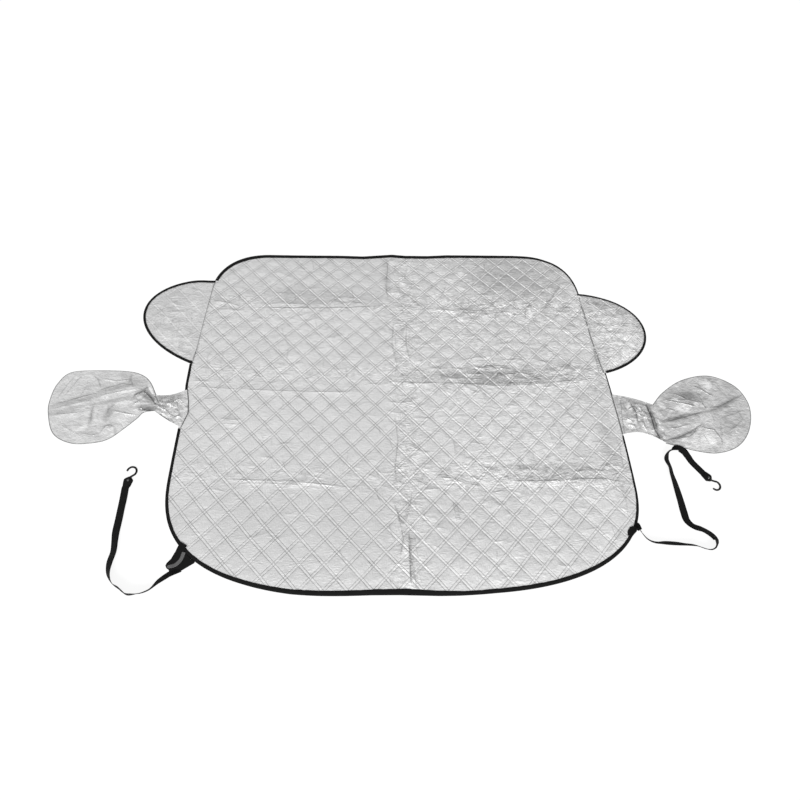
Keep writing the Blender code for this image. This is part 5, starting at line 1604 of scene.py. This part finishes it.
class COVER_OT_hardware(bpy.types.Operator):
    """Add the strap ends, hooks and the grey band painted as a highlight on the left tab, and finish the
    rivets and tabs
    """
    bl_idname = "cover.hardware"
    bl_label = "Hooks, Rivets and Tabs"

    def execute(self, context):
        for side in OUTLINE:
            dress(folded_end(side), webbing_material(), "webbing", side + "_strap_end")
            dress(hook_wire(side, context.scene.trim_sizes.wire / 2),
                  finish_named("vinyl_coated_wire", coated_finish), "coated_wire", side + "_hook")
            for part, material in (("_strap_tab", webbing_material()),
                                   ("_strap_rivet", finish_named("nickel_plated_steel", rivet_finish))):
                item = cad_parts[side + part]
                item.data.materials.clear()
                item.data.materials.append(material)
        # The grey band is a painted highlight on the fold of the left tab's black webbing
        band = smooth_curve([(*point, TAB_HIGH + 0.5 * MM) for point in TAB_HIGHLIGHT_ROUTE], 48)
        share = np.linspace(0, 1, len(band))
        width = 10 * MM * np.sqrt(np.clip(1 - ((share - 0.82) / 0.19).clip(0, 1) ** 2, 0.04, 1))
        rings = ribbon_rings(band, 0 * share, width, 1.2 * MM)
        tab_highlight_paint = swept("left_tab_painted_highlight", rings, ribbon_uv(band, rings))
        colours = context.scene.cover_colours
        dress(tab_highlight_paint, finish_named("painted_highlight_webbing", lambda: woven_finish(
            "painted_highlight_webbing", colours.tab_highlight_paint, 0.55, 1.2 * MM, 0.05)), "webbing")
        return {"FINISHED"}


# Stage

class COVER_OT_stage(bpy.types.Operator):
    """Add the floor, the lamps and the camera"""
    bl_idname = "cover.stage"
    bl_label = "Studio Stage"

    def execute(self, context):
        settings = context.scene.stage_settings
        add_camera(settings)
        add_floor()
        light_world()
        add_lamp("front_softbox", (-1.3, -11.0, 8.0), (0.0, 0.0, 0.0), (7.8, 5.4), 2150.0)
        context.scene.view_settings.view_transform = "Standard"
        return {"FINISHED"}


def add_camera(settings):
    """Camera at the photograph's viewing angle."""
    pitch, yaw, roll = settings.pitch, settings.yaw, settings.roll
    ahead = np.array([math.sin(yaw) * math.cos(pitch), math.cos(yaw) * math.cos(pitch),
                      -math.sin(pitch)])
    level = np.array([math.cos(yaw), -math.sin(yaw), 0.0])
    above = np.cross(level, ahead)
    right = math.cos(roll) * level + math.sin(roll) * above
    up = -math.sin(roll) * level + math.cos(roll) * above
    data = bpy.data.cameras.new("studio_camera")
    data.lens = settings.lens
    data.sensor_width = 36.0
    data.clip_start = 0.05
    camera = bpy.data.objects.new("studio_camera", data)
    bpy.context.scene.collection.objects.link(camera)
    turned = Matrix(np.column_stack([right, up, -ahead]).tolist()).to_4x4()
    camera.matrix_world = Matrix.Translation(settings.place) @ turned
    bpy.context.scene.camera = camera


def add_lamp(name, place, aim, size, power):
    """Rectangular area lamp that faces a point."""
    data = bpy.data.lights.new(name, "AREA")
    data.shape = "RECTANGLE"
    data.size, data.size_y = size
    data.energy = power
    lamp = bpy.data.objects.new(name, data)
    bpy.context.scene.collection.objects.link(lamp)
    back = np.array(place) - np.array(aim)
    back /= np.linalg.norm(back)
    right = np.cross((0.0, 1.0, 0.0), back)
    right /= np.linalg.norm(right)
    turned = Matrix(np.column_stack([right, np.cross(back, right), back]).tolist()).to_4x4()
    lamp.matrix_world = Matrix.Translation(place) @ turned


def white_to_the_eye(tree, seen, unseen):
    """Mix of two shaders: the first for camera and transmission rays, the second for the rest,
    glossy rays too, so that the film mirrors no more than the light that falls on it."""
    path = node(tree, "LightPath", out=None)
    eye = node(tree, "Math", (path["Is Camera Ray"], path["Is Transmission Ray"]),
               operation="MAXIMUM")
    return node(tree, "MixShader", (eye, unseen, seen))


def add_floor():
    """White floor: it lights the object as white paint, and the camera sees it as white with an
    eighth of that paint's own shading, so that the object's shadow is left on it."""
    made = bpy.data.materials.new("white_floor")
    made.use_nodes = True
    tree = made.node_tree
    tree.nodes.clear()
    paint = node(tree, "BsdfDiffuse", {"Color": (*linear("F4F4F4"), 1.0)})
    faint = node(tree, "BsdfDiffuse", {"Color": (0.12, 0.12, 0.12, 1.0)})
    glow = node(tree, "Emission", {"Color": (1, 1, 1, 1), "Strength": 0.91})
    both = node(tree, "AddShader", (faint, glow))
    node(tree, "OutputMaterial", {"Surface": white_to_the_eye(tree, both, paint)}, None)
    size = 6.0
    corners = np.array([(-size, -size, 0), (size, -size, 0), (size, size, 0), (-size, size, 0)])
    floor = add_mesh("studio_floor", corners, [(0, 1, 2, 3)], smooth=False)
    floor.data.materials.append(made)


def light_world():
    """World that is white to the camera and lights the object from all round, brightest above
    the camera and dark towards the horizon behind the object."""
    world = bpy.data.worlds.new("studio_world")
    bpy.context.scene.world = world
    world.use_nodes = True
    tree = world.node_tree
    tree.nodes.clear()
    way = node(tree, "SeparateXYZ", (node(tree, "TexCoord", out="Generated"),), None)
    # Height of the direction, less its part away from the camera
    lean = node(tree, "Math", (way[1], -0.9, way[2]), operation="MULTIPLY_ADD")
    level = node(tree, "MapRange", (lean, -0.3, 1.2, 0.46, 0.57))
    seen, light = (node(tree, "Background", {"Color": (1, 1, 1, 1), "Strength": strength})
                   for strength in (1.0, level))
    node(tree, "OutputWorld", {"Surface": white_to_the_eye(tree, seen, light)}, None)


class COVER_PT_panel(bpy.types.Panel):
    """Sidebar panel that lists the pieces"""
    bl_idname = "COVER_PT_panel"
    bl_label = "Frost Cover"
    bl_space_type = "VIEW_3D"
    bl_region_type = "UI"
    bl_category = "Frost Cover"

    def draw(self, context):
        column = self.layout.column(align=True)
        for step in STEPS:
            column.operator(step.bl_idname)
        for group in (context.scene.quilt_sizes, context.scene.trim_sizes,
                      context.scene.cover_colours, context.scene.stage_settings):
            box = self.layout.box()
            for name in group.__annotations__:
                box.prop(group, name)


STEPS = (COVER_OT_stage, COVER_OT_hardware, COVER_OT_straps, COVER_OT_panel, COVER_OT_flaps,
         COVER_OT_tapes, COVER_OT_necks, COVER_OT_pockets)
GROUPS = {"quilt_sizes": QuiltSizes, "trim_sizes": TrimSizes, "cover_colours": CoverColours,
          "stage_settings": StageSettings}


def register():
    """Register the groups, the operators and the panel."""
    for name, group in GROUPS.items():
        bpy.utils.register_class(group)
        setattr(bpy.types.Scene, name, bpy.props.PointerProperty(type=group))
    for made in (*STEPS, COVER_PT_panel):
        bpy.utils.register_class(made)


def unregister():
    """Take away what register added."""
    for made in (COVER_PT_panel, *reversed(STEPS)):
        bpy.utils.unregister_class(made)
    for name, group in reversed(GROUPS.items()):
        delattr(bpy.types.Scene, name)
        bpy.utils.unregister_class(group)


def main():
    """Make every piece in order."""
    register()
    for step in STEPS:
        group, name = step.bl_idname.split(".")
        getattr(getattr(bpy.ops, group), name)()


if __name__ == "__main__":
    main()
